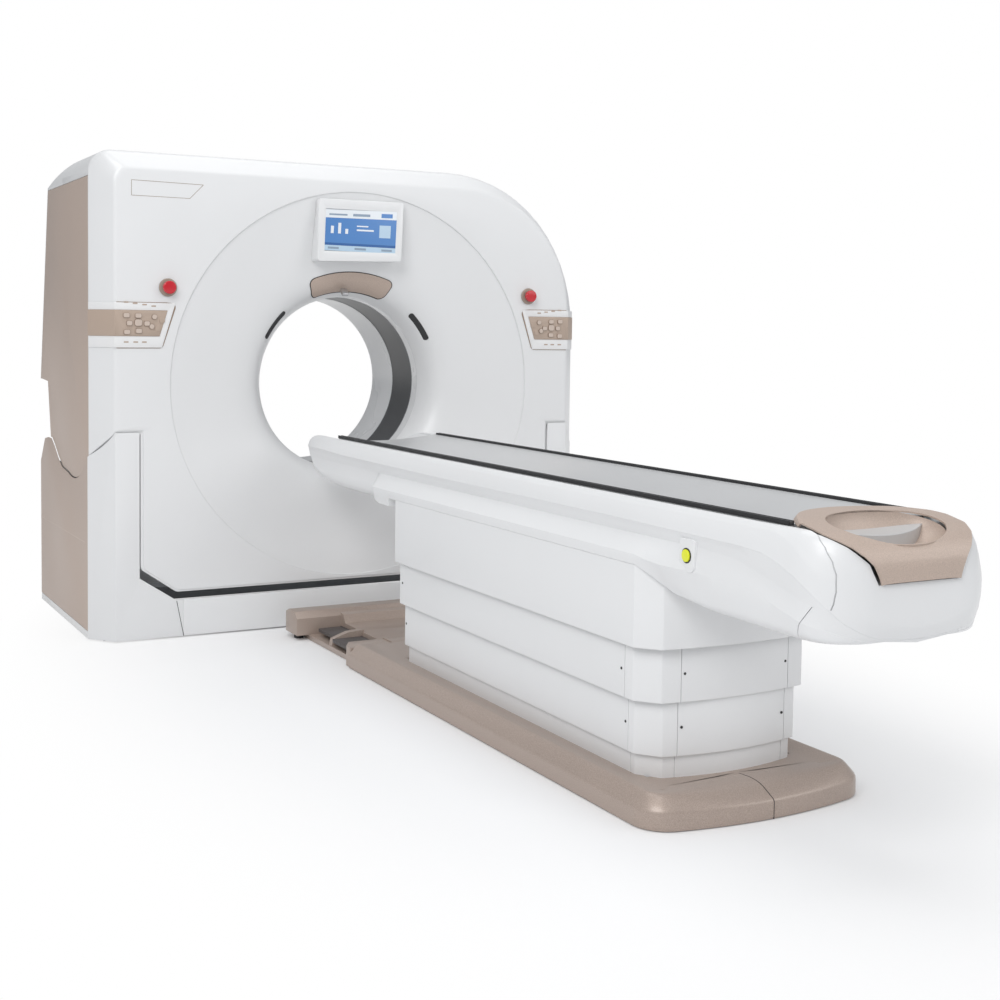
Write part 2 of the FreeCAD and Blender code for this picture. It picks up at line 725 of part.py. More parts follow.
# y, top, crease, lower crease and keel heights of the overhanging foot part
foot_sections = (
    (belly_start_y, 770, 713, 650, 600), (-2950, 770, 713, 640, 520), (belly_full_y, 770, 713, 624, 484),
    (-3140, 770, 712, 618, 480), (-3220, 770, 708, 602, 482), (-3307, 770, 684, 576, 500),
)
tail_sections = (
    (-3307, 770, 684, 576, 500), (-3345, 770, 670, 572, 510), (-3380, 768, 660, 575, 522),
    (-3407, 764, 660, 585, 540), (-3426, 756, 662, 600, 560), (tail_end_y, 735, 664, 620, 585),
)


def hull_loft(sections):
    wires = []
    for y, top, crease, low_crease, keel in sections:
        wires.append(hull_wire(y, tail_half_width(y + 0.5), top, crease, low_crease, keel))
    return Part.makeLoft(wires, True, True)


# The channel that the cradle runs in, deeper towards the foot where the end cap passes
def trough_space():
    spaces = []
    for section, y0, y1 in ((trough, tail_end_y - 100, deep_trough_end_y),
                            (shallow_trough, deep_trough_end_y, hull_head_y + 100)):
        half = list(section) + [(section[-1][0], 900)]
        outline = half + [(-x, z) for x, z in reversed(half[1:])]
        spaces.append(front_plate(outline, y0, y1))
    return spaces[0].fuse(spaces[1])


def head_block():
    half = crease_half_width
    section = [
        (rim_half_width - 2, rim_height), (half - 14, rim_height - 12), (half, crease_height),
        (half - 6, hull_bottom),
    ]
    outline = section + [(-x, z) for x, z in reversed(section)]
    body = front_plate(outline, belly_start_y, hull_head_y)
    side_view = [
        (belly_start_y, hull_bottom), (-748, hull_bottom), (-597, 645), (-460, 659), (-417, 675),
        (hull_head_y + 4, 700), (hull_head_y + 2, 740), (-420, rim_height), (belly_start_y, rim_height),
    ]
    return body.common(side_plate(side_view, -300, 300))


def tail_zone():
    seam = [(-3325, 900), (-3340, 775), (-3372, 740), (-3400, 690), (-3404, 640), (-3390, 600), (-3360, 400)]
    return side_plate(seam + [(-3600, 400), (-3600, 900)], -400, 400)


chassis = (-150.0, 150.0, -2700.0, -1400.0, 612.0, 652.0)


def upper_body():
    foot = hull_loft(foot_sections)
    tail = hull_loft(tail_sections)
    body = head_block().fuse(foot).fuse(tail).cut(trough_space())
    x0, x1, y0, y1, _, top = chassis
    pocket = box(x0 - 10, x1 + 10, y0 - 20, y1 + 20, hull_bottom - 1, top)
    inner = crease_half_width - button_depth
    button_hole = disc_x(side_button_radius + seat_gap, inner, 300, side_button_y, side_button_z)
    body = body.cut(pocket).cut(both_sides(button_hole)).removeSplitter()
    zone = tail_zone()
    save("upper_shell", body.cut(zone))
    save("tail_cover", body.common(zone))


# Skirt under the long shell: flares out over the pedestal, with its lower edge turned in
collar_foot_y = pedestal_shells["pedestal_shell_upper"][3] - 20.0
collar_head_y = pedestal_shells["pedestal_shell_upper"][4] + 45.0
collar_half_width = pedestal_shells["pedestal_shell_upper"][0] + 12.0


def collar():
    def loop(half, y0, z0, y1, z1):
        points = [Vector(-half, y0, z0), Vector(half, y0, z0), Vector(half, y1, z1), Vector(-half, y1, z1)]
        return Part.makePolygon(points + [points[0]])
    half, foot, head = collar_half_width, collar_foot_y, collar_head_y
    top = loop(crease_half_width - 1, foot + 66, hull_bottom + 52, head + 148, hull_bottom + 85)
    wide = loop(half, foot, hull_bottom + 16, head, hull_bottom + 22)
    low = loop(half - 8, foot + 10, hull_bottom, head - 41, hull_bottom)
    skirt = Part.makeLoft([top, wide], True, True).fuse(Part.makeLoft([wide, low], True, True))
    hollow = box(3 - crease_half_width, crease_half_width - 3, foot + 66, head - 55, hull_bottom - 6, 700)
    save("collar", skirt.cut(head_block()).cut(hollow))


# A pedestal shell: four walls with cut corners, open above and below
def shell_plan(half, foot_y, head_y, t):
    cut_x, cut_y = shell_chamfer
    return [
        (-half + t, foot_y + cut_y), (-half + cut_x, foot_y + t), (half - cut_x, foot_y + t),
        (half - t, foot_y + cut_y), (half - t, head_y - t), (-half + t, head_y - t),
    ]


def pedestal_walls(half, bottom, height, foot_y, head_y, inset):
    outer = level_plate(shell_plan(half, foot_y, head_y, 0.0), bottom, bottom + height)
    return outer.cut(level_plate(shell_plan(half, foot_y, head_y, inset), bottom - 1, bottom + height + 1))


# Each shell has a lip inside its lower edge that glides on the next shell down
def pedestal():
    names = list(pedestal_shells)
    for name, inner_name in zip(names, names[1:] + [None]):
        shell = pedestal_walls(*pedestal_shells[name], shell_wall)
        if inner_name:
            half, bottom, height, foot_y, head_y = pedestal_shells[name]
            lip = level_plate(shell_plan(half, foot_y, head_y, 1.0), bottom, bottom + glide_height)
            inner_half, _, _, inner_foot_y, inner_head_y = pedestal_shells[inner_name]
            hole = shell_plan(inner_half, inner_foot_y, inner_head_y, -seat_gap)
            shell = shell.fuse(lip.cut(level_plate(hole, bottom - 1, bottom + glide_height + 1)))
        save(name, shell.removeSplitter())


column_y = (-2300.0, -1900.0)
column_foot_z = table_plateau - 14.0
chassis_rail = 30.0
# Lifting column stages: half width, half width of the bore inside (0 for a closed stage), bottom and top
column_stages = {
    "column_inner": (94.0 - seat_gap, 0.0, 387.0, chassis[4]),
    "column_middle": (108.0 - seat_gap, 94.0, 230.0, 450.0),
    "column_outer": (118.0, 108.0, column_foot_z, 288.0),
}


def lift():
    x0, x1, y0, y1, z0, z1 = chassis
    rail = chassis_rail
    frame = box(x0, x1, y0, y1, z0, z1)
    for start, end in ((y0 + rail, column_y[0] - 40), (column_y[1] + 40, y1 - rail)):
        frame = frame.cut(box(x0 + rail, x1 - rail, start, end, z0 - 1, z1 + 1))
    save("lift_frame", frame)
    outer_half = column_stages["column_outer"][0]
    for name, (half, bore, bottom, top) in column_stages.items():
        y0, y1 = column_y[0] + outer_half - half, column_y[1] - outer_half + half
        tube = rounded_box(-half, half, y0, y1, bottom, top, 12)
        if bore:
            wall = half - bore
            tube = tube.cut(rounded_box(-bore, bore, y0 + wall, y1 - wall, bottom - 1, top + 1, 8))
        save(name, tube)


bow_y = -2968.0
cover_seam_y = -1080.0
bow_rise = 30.0
bow_corner_radius = 92.0


# The bow of the table base: wide round nose with tighter corners in plan
def base_plan(half, nose_y, head_y, corner):
    flat = half - corner
    radius = (flat ** 2 + bow_rise ** 2) / (2 * bow_rise)
    tilt = math.asin(flat / radius)
    corner_y = nose_y + bow_rise + corner * math.cos(tilt)
    slant = 0.5 * (math.pi / 2 - tilt)
    def at(x, y):
        return Vector(x, y, 0)
    join = (flat + corner * math.sin(tilt), nose_y + bow_rise)
    middle = (flat + corner * math.cos(slant), corner_y - corner * math.sin(slant))
    edges = [
        Part.makeLine(at(-half, head_y), at(-half, corner_y)),
        Part.Arc(at(-half, corner_y), at(-middle[0], middle[1]), at(-join[0], join[1])).toShape(),
        Part.Arc(at(-join[0], join[1]), at(0, nose_y), at(join[0], join[1])).toShape(),
        Part.Arc(at(join[0], join[1]), at(middle[0], middle[1]), at(half, corner_y)).toShape(),
        Part.makeLine(at(half, corner_y), at(half, head_y)),
        Part.makeLine(at(half, head_y), at(-half, head_y)),
    ]
    return Part.Wire(edges)


def table_base():
    def at(wire, z):
        wire.translate(Vector(0, 0, z))
        return wire
    inset = table_base_half - table_ridge_half
    outer = (table_base_half, bow_y, cover_seam_y, bow_corner_radius)
    ridge = (table_ridge_half, bow_y + inset, cover_seam_y, bow_corner_radius - inset)
    foot = Part.Face(at(base_plan(*outer), 2)).extrude(Vector(0, 0, table_base_wall - 2))
    wires = [at(base_plan(*outer), table_base_wall), at(base_plan(*ridge), table_plateau)]
    cover = foot.fuse(Part.makeLoft(wires, True, True))
    half, bottom, _, foot_y, head_y = pedestal_shells["pedestal_shell_lower"]
    seat = box(-half - 3, half + 3, foot_y - 15, head_y + 20, bottom - 1, table_plateau + 10)
    hollow = box(20 - table_base_half, table_base_half - 20, bow_y + 88, cover_seam_y + 10, 1, bottom)
    cover = cover.cut(hollow).cut(seat).removeSplitter()
    save("table_base_cover", cover)


table_frame = (-300.0, 300.0, -2860.0, -1120.0, 0.0, 50.0)
table_frame_windows = ((-1700.0, -1200.0), (-2780.0, -2400.0))
table_frame_window_half = 180.0
table_anchor_x = 250.0
table_anchor_inset = 30.0


def table_frame_plate():
    x0, x1, y0, y1, z0, z1 = table_frame
    frame = box(*table_frame)
    for start, end in table_frame_windows:
        frame = frame.cut(box(-table_frame_window_half, table_frame_window_half, start, end, z0 - 1, z1 + 1))
    for y in (y0 + table_anchor_inset, y1 - table_anchor_inset):
        frame = frame.cut(both_sides(disc_z(anchor_radius, z0 - 1, z1 + 1, table_anchor_x, y)))
    half = column_stages["column_outer"][0]
    foot_plate = box(-half, half, column_y[0] - 18, column_y[1] + 18, z1, column_foot_z)
    save("table_floor_frame", frame.fuse(foot_plate).removeSplitter())


# Low rear cover between the table and the gantry, with recesses at both sides for the pedals
pedal_axis_x = 181.0
pedal_axis_z = 41.0
pedal_pin_radius = 4.0
spine_half_width = 170.0
pan_half_width = 300.0
pan_end_y = -985.0
pan_top = 20.0
step_top = 70.0
crossbeam_half_width = 350.0
crossbeam_section = (
    (-600.0, 20.0), (-600.0, 84.0), (-570.0, 106.0), (-510.0, 108.0), (-480.0, 95.0), (-480.0, 20.0),
)
crossbeam_foot = (320.0, -540.0)
crossbeam_foot_radius = 18.0


def rear_base_cover():
    start, end = cover_seam_y + seat_gap, crossbeam_section[-1][0]
    outline = [
        (start, 2), (start, table_plateau), (start + 80, table_plateau), (start + 120, 60), (end - 160, 60),
        (end - 140, 90), (end - 20, 104), (end, 2),
    ]
    spine = side_plate(outline, -spine_half_width, spine_half_width)
    side = table_base_half - 7
    pan_half, bend = pan_half_width, pan_end_y - 55
    step_plan = [(-side, start), (side, start), (side, bend), (pan_half, pan_end_y), (-pan_half, pan_end_y),
                 (-side, bend)]
    step = level_plate(step_plan, 2, step_top)
    pan = box(-pan_half, pan_half, pan_end_y, end, 2, pan_top)
    root = spine_half_width - 5
    rib_outline = [(root, pan_top), (pan_half - 6, pan_top), (pan_half - 12, 44), (230, 64), (root, step_top)]
    rib = front_plate(rib_outline, -811, -783)
    beam_part = side_plate(list(crossbeam_section), -crossbeam_half_width, crossbeam_half_width)
    pin = disc_y(pedal_pin_radius, -963, -622, pedal_axis_x, pedal_axis_z)
    cover = spine.fuse(step).fuse(pan).fuse(both_sides(rib)).fuse(beam_part).fuse(both_sides(pin))
    save("table_rear_cover", cover.removeSplitter())
    foot_x, foot_y = crossbeam_foot
    foot = disc_z(crossbeam_foot_radius, 0, pan_top, -foot_x, foot_y)
    save("beam_feet", foot, mirrored(foot))


# Foot pedals: y of the middle, length and outer edge; each turns on a barrel at its inner edge
pedal_places = {"gantry_side_pedal": (-697.0, 146.0, 274.0), "table_side_pedal": (-890.0, 142.0, 296.0)}
pedal_half_thickness = 6.0
pedal_corner_radius = 5.0
pedal_barrel_radius = 8.0


def pedals():
    for name, (y, length, reach) in pedal_places.items():
        start, end = y - length / 2, y + length / 2
        low, high = pedal_axis_z - pedal_half_thickness, pedal_axis_z + pedal_half_thickness
        shoe = rounded_box(pedal_axis_x, reach, start, end, low, high, pedal_corner_radius)
        barrel = disc_y(pedal_barrel_radius, start, end, pedal_axis_x, pedal_axis_z)
        bore = disc_y(pedal_pin_radius + trunnion_clearance, start - 1, end + 1, pedal_axis_x, pedal_axis_z)
        pedal = shoe.fuse(barrel).removeSplitter().cut(bore)
        save(name + "_left", mirrored(pedal))
        save(name + "_right", pedal)


# ---- Cradle ----

cradle_section = (
    (cradle_half_width, cradle_top), (209.0, 768.0), (178.0, 746.0), (140.0, 722.0), (70.0, 704.0),
    (0.0, 700.0),
)
cradle_dip = 28.0
cradle_head_rise = 90.0
cradle_foot_rise = 120.0
rail_width = 10.0
rail_proud = 3.0


def cradle():
    under = [Vector(x, cradle_head_y, z) for x, z in cradle_section]
    under += [Vector(-v.x, v.y, v.z) for v in reversed(under[:-1])]
    top = Part.Arc(under[-1], Vector(0, cradle_head_y, cradle_top - cradle_dip), under[0]).toShape()
    lines = [Part.makeLine(a, b) for a, b in zip(under, under[1:])]
    face = Part.Face(Part.Wire(lines + [top]))
    board = face.extrude(Vector(0, cradle_foot_y - cradle_head_y, 0))
    board = board.common(cradle_plan())
    save("cradle", board)
    return board


def cradle_plan():
    half = cradle_half_width
    head_centre = cradle_head_y - cradle_head_rise
    foot_centre = cradle_foot_y + cradle_foot_rise
    edges = [
        Part.makeLine(Vector(-half, foot_centre, 650), Vector(-half, head_centre, 650)),
        Part.Arc(Vector(-half, head_centre, 650), Vector(0, cradle_head_y, 650),
                 Vector(half, head_centre, 650)).toShape(),
        Part.makeLine(Vector(half, head_centre, 650), Vector(half, foot_centre, 650)),
        Part.Arc(Vector(half, foot_centre, 650), Vector(0, cradle_foot_y, 650),
                 Vector(-half, foot_centre, 650)).toShape(),
    ]
    return Part.Face(Part.Wire(edges)).extrude(Vector(0, 0, 200))


def cradle_parts():
    board = cradle()
    outer = cradle_half_width - 2
    end = cradle_head_y - cradle_head_rise - 5
    strip = box(outer - rail_width, outer, cap_start_y + 2, end, cradle_top - 5, cradle_top + rail_proud)
    strip = strip.cut(board)
    save("cradle_rails", strip, mirrored(strip))


cap_clearance = 3.0
bowl_centre = (-3340.0, 800.0)
bowl_half_sizes = (150.0, 78.0, 90.0)


def end_cap():
    half = [(x - cap_clearance, z + cap_clearance) for x, z in trough[1:]]
    half = [(0, trough[0][1] + cap_clearance)] + half
    half += [(cradle_half_width - 0.5, cradle_top + 1), (150, cap_height), (0, cap_height + 4)]
    outline = half + [(-x, z) for x, z in reversed(half[1:-1])]
    block = front_plate(outline, tail_end_y, cap_start_y)
    plan = Part.Face(tail_plan()).extrude(Vector(0, 0, 300))
    block = block.common(plan)
    bowl = Part.makeSphere(1.0)
    stretch = FreeCAD.Matrix()
    stretch.scale(Vector(*bowl_half_sizes))
    bowl = bowl.transformGeometry(stretch)
    bowl.translate(Vector(0, *bowl_centre))
    side = cradle_half_width + 1
    slot = cradle_plan().common(box(-side, side, cradle_foot_y - 1, cap_start_y + 1, 690, cradle_top + 4))
    save("end_cap", block.cut(slot).cut(bowl))


def tail_plan():
    half = crease_half_width - 4
    corner_y = tail_end_y + tail_corner
    inner = half - tail_corner
    slant = math.sqrt(0.5) * tail_corner
    def at(x, y):
        return Vector(x, y, 600)
    edges = [
        Part.makeLine(at(-half, cap_start_y + 10), at(-half, corner_y)),
        Part.Arc(at(-half, corner_y), at(-inner - slant, corner_y - slant), at(-inner, tail_end_y)).toShape(),
        Part.makeLine(at(-inner, tail_end_y), at(inner, tail_end_y)),
        Part.Arc(at(inner, tail_end_y), at(inner + slant, corner_y - slant), at(half, corner_y)).toShape(),
        Part.makeLine(at(half, corner_y), at(half, cap_start_y + 10)),
        Part.makeLine(at(half, cap_start_y + 10), at(-half, cap_start_y + 10)),
    ]
    return Part.Wire(edges)


def side_buttons():
    inner = crease_half_width - button_depth + 4
    button = disc_x(side_button_radius, inner, crease_half_width + 6, side_button_y, side_button_z)
    save("side_button_left", mirrored(button))
    save("side_button_right", button)


def build():
    os.makedirs("parts", exist_ok=True)
    tilting_covers()
    bore_lining()
    display()
    funnel_fittings()
    controls()
    tilt_frame()
    rotating_frame()
    gantry_floor_frame()
    tilt_stands()
    fixed_covers()
    upper_body()
    collar()
    pedestal()
    lift()
    table_base()
    table_frame_plate()
    rear_base_cover()
    pedals()
    cradle_parts()
    end_cap()
    side_buttons()


build()
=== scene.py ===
import bpy
import json
import math
from mathutils import Matrix, Vector

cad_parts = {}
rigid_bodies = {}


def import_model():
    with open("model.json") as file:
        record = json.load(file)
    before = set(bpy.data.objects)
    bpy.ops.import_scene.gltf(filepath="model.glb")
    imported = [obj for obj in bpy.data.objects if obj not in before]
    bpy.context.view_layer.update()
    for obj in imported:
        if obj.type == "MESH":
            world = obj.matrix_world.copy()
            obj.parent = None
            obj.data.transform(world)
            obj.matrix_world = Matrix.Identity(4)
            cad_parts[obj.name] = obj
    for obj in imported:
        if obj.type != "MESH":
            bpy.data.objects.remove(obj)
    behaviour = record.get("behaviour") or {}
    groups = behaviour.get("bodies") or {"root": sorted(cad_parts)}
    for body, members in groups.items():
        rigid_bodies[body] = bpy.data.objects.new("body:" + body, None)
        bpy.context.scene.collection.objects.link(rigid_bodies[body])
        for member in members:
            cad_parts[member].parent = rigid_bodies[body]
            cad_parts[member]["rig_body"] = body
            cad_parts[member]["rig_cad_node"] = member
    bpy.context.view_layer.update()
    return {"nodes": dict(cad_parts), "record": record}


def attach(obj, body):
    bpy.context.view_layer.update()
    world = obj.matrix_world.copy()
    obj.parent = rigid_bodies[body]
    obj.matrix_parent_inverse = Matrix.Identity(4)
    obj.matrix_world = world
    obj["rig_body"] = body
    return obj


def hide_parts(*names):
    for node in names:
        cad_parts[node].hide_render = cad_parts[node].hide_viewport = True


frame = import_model()
nodes = frame["nodes"]
mm = 0.001  # places and sizes of the pieces are written in mm
isoHeight = 958.5  # axis of the bore above the floor
quarterTurn = math.pi / 2
bothSides = ((-1, "Left"), (1, "Right"))
print("frame loaded with", len(nodes), "nodes")


def clearSelection():
    if bpy.context.object and bpy.context.object.mode != "OBJECT":
        bpy.ops.object.mode_set(mode="OBJECT")
    bpy.ops.object.select_all(action="DESELECT")


def makeActive(piece):
    clearSelection()
    bpy.context.view_layer.objects.active = piece
    piece.select_set(True)


# Runs mesh operators on the whole of a piece in edit mode
def editAll(piece, *steps):
    makeActive(piece)
    bpy.ops.object.mode_set(mode="EDIT")
    bpy.ops.mesh.select_mode(type="VERT")
    bpy.ops.mesh.select_all(action="SELECT")
    for step in steps:
        step()
    bpy.ops.object.mode_set(mode="OBJECT")


def mergeClose(distance=0.02):
    bpy.ops.mesh.remove_doubles(threshold=distance * mm)


def closeHoles():
    bpy.ops.mesh.select_all(action="SELECT")
    bpy.ops.mesh.fill_holes(sides=0)
    bpy.ops.mesh.select_all(action="SELECT")


def faceOpenEdges():
    bpy.ops.mesh.select_all(action="DESELECT")
    bpy.ops.mesh.select_non_manifold()
    bpy.ops.mesh.edge_face_add()
    bpy.ops.mesh.select_all(action="SELECT")


def pointOutwards():
    bpy.ops.mesh.normals_make_consistent(inside=False)


def applyModifier(piece, kind, **settings):
    makeActive(piece)
    modifier = piece.modifiers.new(kind.lower(), kind)
    for key, value in settings.items():
        setattr(modifier, key, value)
    bpy.ops.object.modifier_apply(modifier=modifier.name)


def softenEdges(piece, width, segments=3, angle=28.0):
    applyModifier(piece, "BEVEL", width=width * mm, segments=segments, limit_method="ANGLE",
                  angle_limit=math.radians(angle), miter_outer="MITER_ARC")


# Cuts or joins a piece with a helper shape, which is then removed
def booleanWith(piece, helper, operation="DIFFERENCE"):
    applyModifier(piece, "BOOLEAN", object=helper, operation=operation, solver="EXACT")
    bpy.data.objects.remove(helper)


def thicken(piece, wall, offset=-1.0):
    applyModifier(piece, "SOLIDIFY", thickness=wall * mm, offset=offset)


# Merges one half of a piece, mirrors it across the middle plane and closes what is open
def mirrorHalf(piece, closeOpenings):
    editAll(piece, mergeClose)
    applyModifier(piece, "MIRROR", use_axis=(True, False, False), merge_threshold=0.05 * mm)
    editAll(piece, lambda: mergeClose(0.05), closeOpenings, pointOutwards)


def copyPiece(source, name):
    piece = source.copy()
    piece.data = source.data.copy()
    piece.name = name
    bpy.context.scene.collection.objects.link(piece)
    return piece


# A grid primitive whose points are laid on rows of (x, y, z)
def gridPiece(name, rows):
    clearSelection()
    across = len(rows[0])
    bpy.ops.mesh.primitive_grid_add(x_subdivisions=across - 1, y_subdivisions=len(rows) - 1, size=1)
    piece = bpy.context.object
    piece.name = name
    for vertex in piece.data.vertices:
        row, column = divmod(vertex.index, across)
        vertex.co = Vector(rows[row][column]) * mm
    return piece


# A closed prism from an outline of (a, b) points; axis says which way it runs
def prism(name, outline, start, end, axis):
    order = {"x": (2, 0, 1), "y": (0, 2, 1), "z": (0, 1, 2)}[axis]
    clearSelection()
    bpy.ops.mesh.primitive_circle_add(vertices=len(outline), fill_type="NGON")
    piece = bpy.context.object
    piece.name = name
    for vertex, (a, b) in zip(piece.data.vertices, outline):
        vertex.co = Vector([(a, b, start)[i] for i in order]) * mm
    move = Vector([(0, 0, end - start)[i] for i in order]) * mm
    editAll(piece, lambda: bpy.ops.mesh.extrude_region_move(TRANSFORM_OT_translate={"value": move}),
            lambda: bpy.ops.mesh.select_all(action="SELECT"), pointOutwards)
    return piece


def rectangle(left, low, right, high):
    return [(left, low), (right, low), (right, high), (left, high)]


def addCylinder(name, radius, depth, spot, turn, sides):
    clearSelection()
    bpy.ops.mesh.primitive_cylinder_add(vertices=sides, radius=radius * mm, depth=depth * mm,
                                        location=[value * mm for value in spot], rotation=turn)
    piece = bpy.context.object
    piece.name = name
    bpy.ops.object.transform_apply(location=True, rotation=True, scale=True)
    return piece


def between(a, b, share):
    return a + (b - a) * share


def pointBetween(a, b, share):
    return tuple(between(p, q, share) for p, q in zip(a, b))


def clamp(value, low=0.0, high=1.0):
    return min(max(value, low), high)


def aroundBore(radius, angle, y):
    return (radius * math.sin(angle), y, isoHeight + radius * math.cos(angle))


# Reads a value off a table of (position, value) pairs
def readTable(table, position):
    if position <= table[0][0]:
        return table[0][1]
    for (p0, v0), (p1, v1) in zip(table, table[1:]):
        if position <= p1:
            return between(v0, v1, (position - p0) / (p1 - p0))
    return table[-1][1]


# The points that round one corner between its two neighbours
def cornerArc(previous, here, following, radius, steps):
    corner = Vector(here)
    toBefore = (Vector(previous) - corner).normalized()
    toAfter = (Vector(following) - corner).normalized()
    half = math.acos(clamp(toBefore.dot(toAfter), -1.0, 1.0)) / 2
    if abs(half - quarterTurn) < 1e-4:
        return [here] * (steps + 1)
    reach = radius / math.tan(half)
    centre = corner + (toBefore + toAfter).normalized() * radius / math.sin(half)
    first = corner + toBefore * reach - centre
    last = corner + toAfter * reach - centre
    turn = math.atan2(first.x * last.y - first.y * last.x, first.dot(last))
    points = []
    for step in range(steps + 1):
        c, s = math.cos(turn * step / steps), math.sin(turn * step / steps)
        points.append((centre.x + first.x * c - first.y * s, centre.y + first.x * s + first.y * c))
    return points


def filletLoop(corners, radii, steps=4):
    points = []
    for index, corner in enumerate(corners):
        following = corners[(index + 1) % len(corners)]
        points += cornerArc(corners[index - 1], corner, following, radii[index], steps)
    return points


# A smooth curve through key points, with a few points added between each two
def smoothCurve(keys, steps=3):
    points = []
    last = len(keys) - 1
    for index in range(last):
        p0, p1 = keys[max(index - 1, 0)], keys[index]
        p2, p3 = keys[index + 1], keys[min(index + 2, last)]
        for step in range(steps):
            t = step / steps
            points.append(tuple(
                0.5 * (2 * b + (c - a) * t + (2 * a - 5 * b + 4 * c - d) * t * t
                       + (3 * b - a - 3 * c + d) * t ** 3)
                for a, b, c, d in zip(p0, p1, p2, p3)))
    points.append(tuple(keys[-1]))
    return points


# Gives a finished piece its finish and smooth shading, and tells the frame where it belongs
def place(piece, body, finish, angle=35.0):
    piece.data.materials.clear()
    piece.data.materials.append(materials[finish])
    makeActive(piece)
    bpy.ops.object.shade_smooth_by_angle(angle=math.radians(angle))
    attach(piece, body)
    return piece


# A node's own mesh as a new piece, merged, with flat areas joined and its edges rounded
def roundedCopy(nodeName, pieceName, width, finish):
    body = nodes[nodeName]["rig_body"]
    piece = copyPiece(nodes[nodeName], pieceName)
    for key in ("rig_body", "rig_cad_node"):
        if key in piece:
            del piece[key]
    piece.parent = None
    editAll(piece, lambda: mergeClose(0.03),
            lambda: bpy.ops.mesh.dissolve_limited(angle_limit=math.radians(0.4)))
    softenEdges(piece, width)
    applyModifier(piece, "WEIGHTED_NORMAL", keep_sharp=True, weight=80)
    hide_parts(nodeName)
    place(piece, body, finish, 40.0)


# Adds a shader node: values and links go by socket, settings by attribute
def addNode(tree, kind, values=None, links=None, **settings):
    node = tree.nodes.new("ShaderNode" + kind)
    for key, value in settings.items():
        setattr(node, key, value)
    for key, value in (values or {}).items():
        node.inputs[key].default_value = value
    for key, source in (links or {}).items():
        tree.links.new(source, node.inputs[key])
    return node


# What a finish has unless its own line says otherwise
usualFinish = {"grainScale": 500, "grainDetail": 2.0, "cloudScale": 3.0, "cloudDetail": 3.0, "cloud": 0.015,
               "noiseLow": 0.3, "noiseHigh": 0.7, "glossSpread": 0.04, "metal": 0.0, "bump": 0.05,
               "bumpDepth": 0.0002, "coatRoughness": 0.12}


# A moulded or painted finish: fine grain, soft mottling, uneven gloss and a fine bump
def paintedFinish(name, look):
    look = {**usualFinish, **look}
    material = bpy.data.materials.new(name)
    material.use_nodes = True
    tree = material.node_tree
    shader = tree.nodes["Principled BSDF"]
    spot = addNode(tree, "TexCoord").outputs["Object"]

    def noise(kind):
        values = {"Scale": look[kind + "Scale"], "Detail": look[kind + "Detail"]}
        return addNode(tree, "TexNoise", values, {"Vector": spot}).outputs["Fac"]

    def spread(source, low, high):
        values = {"From Min": look["noiseLow"], "From Max": look["noiseHigh"], "To Min": low, "To Max": high}
        return addNode(tree, "MapRange", values, {"Value": source}).outputs["Result"]

    grain = noise("grain")
    cloud = noise("cloud")
    dark = [value * (1 - look["grain"]) for value in Vector(look["colour"])] + [1]
    light = [min(1.0, value * (1 + look["grain"])) for value in Vector(look["colour"])] + [1]
    speckle = addNode(tree, "Mix", {"A": dark, "B": light}, {"Factor": spread(grain, 0.0, 1.0)},
                      data_type="RGBA")
    level = spread(cloud, 1.0 - look["cloud"], 1.0)
    shade = addNode(tree, "CombineColor", links={channel: level for channel in ("Red", "Green", "Blue")})
    mottle = addNode(tree, "Mix", {"Factor": 1.0},
                     {"A": speckle.outputs["Result"], "B": shade.outputs["Color"]},
                     data_type="RGBA", blend_type="MULTIPLY")
    gloss = spread(cloud, look["roughness"] - look["glossSpread"], look["roughness"] + look["glossSpread"])
    bump = addNode(tree, "Bump", {"Strength": look["bump"], "Distance": look["bumpDepth"]}, {"Height": grain})
    tree.links.new(mottle.outputs["Result"], shader.inputs["Base Color"])
    tree.links.new(gloss, shader.inputs["Roughness"])
    tree.links.new(bump.outputs["Normal"], shader.inputs["Normal"])
    shader.inputs["Metallic"].default_value = look["metal"]
    if "coat" in look:
        shader.inputs["Coat Weight"].default_value = look["coat"]
        shader.inputs["Coat Roughness"].default_value = look["coatRoughness"]
    return material


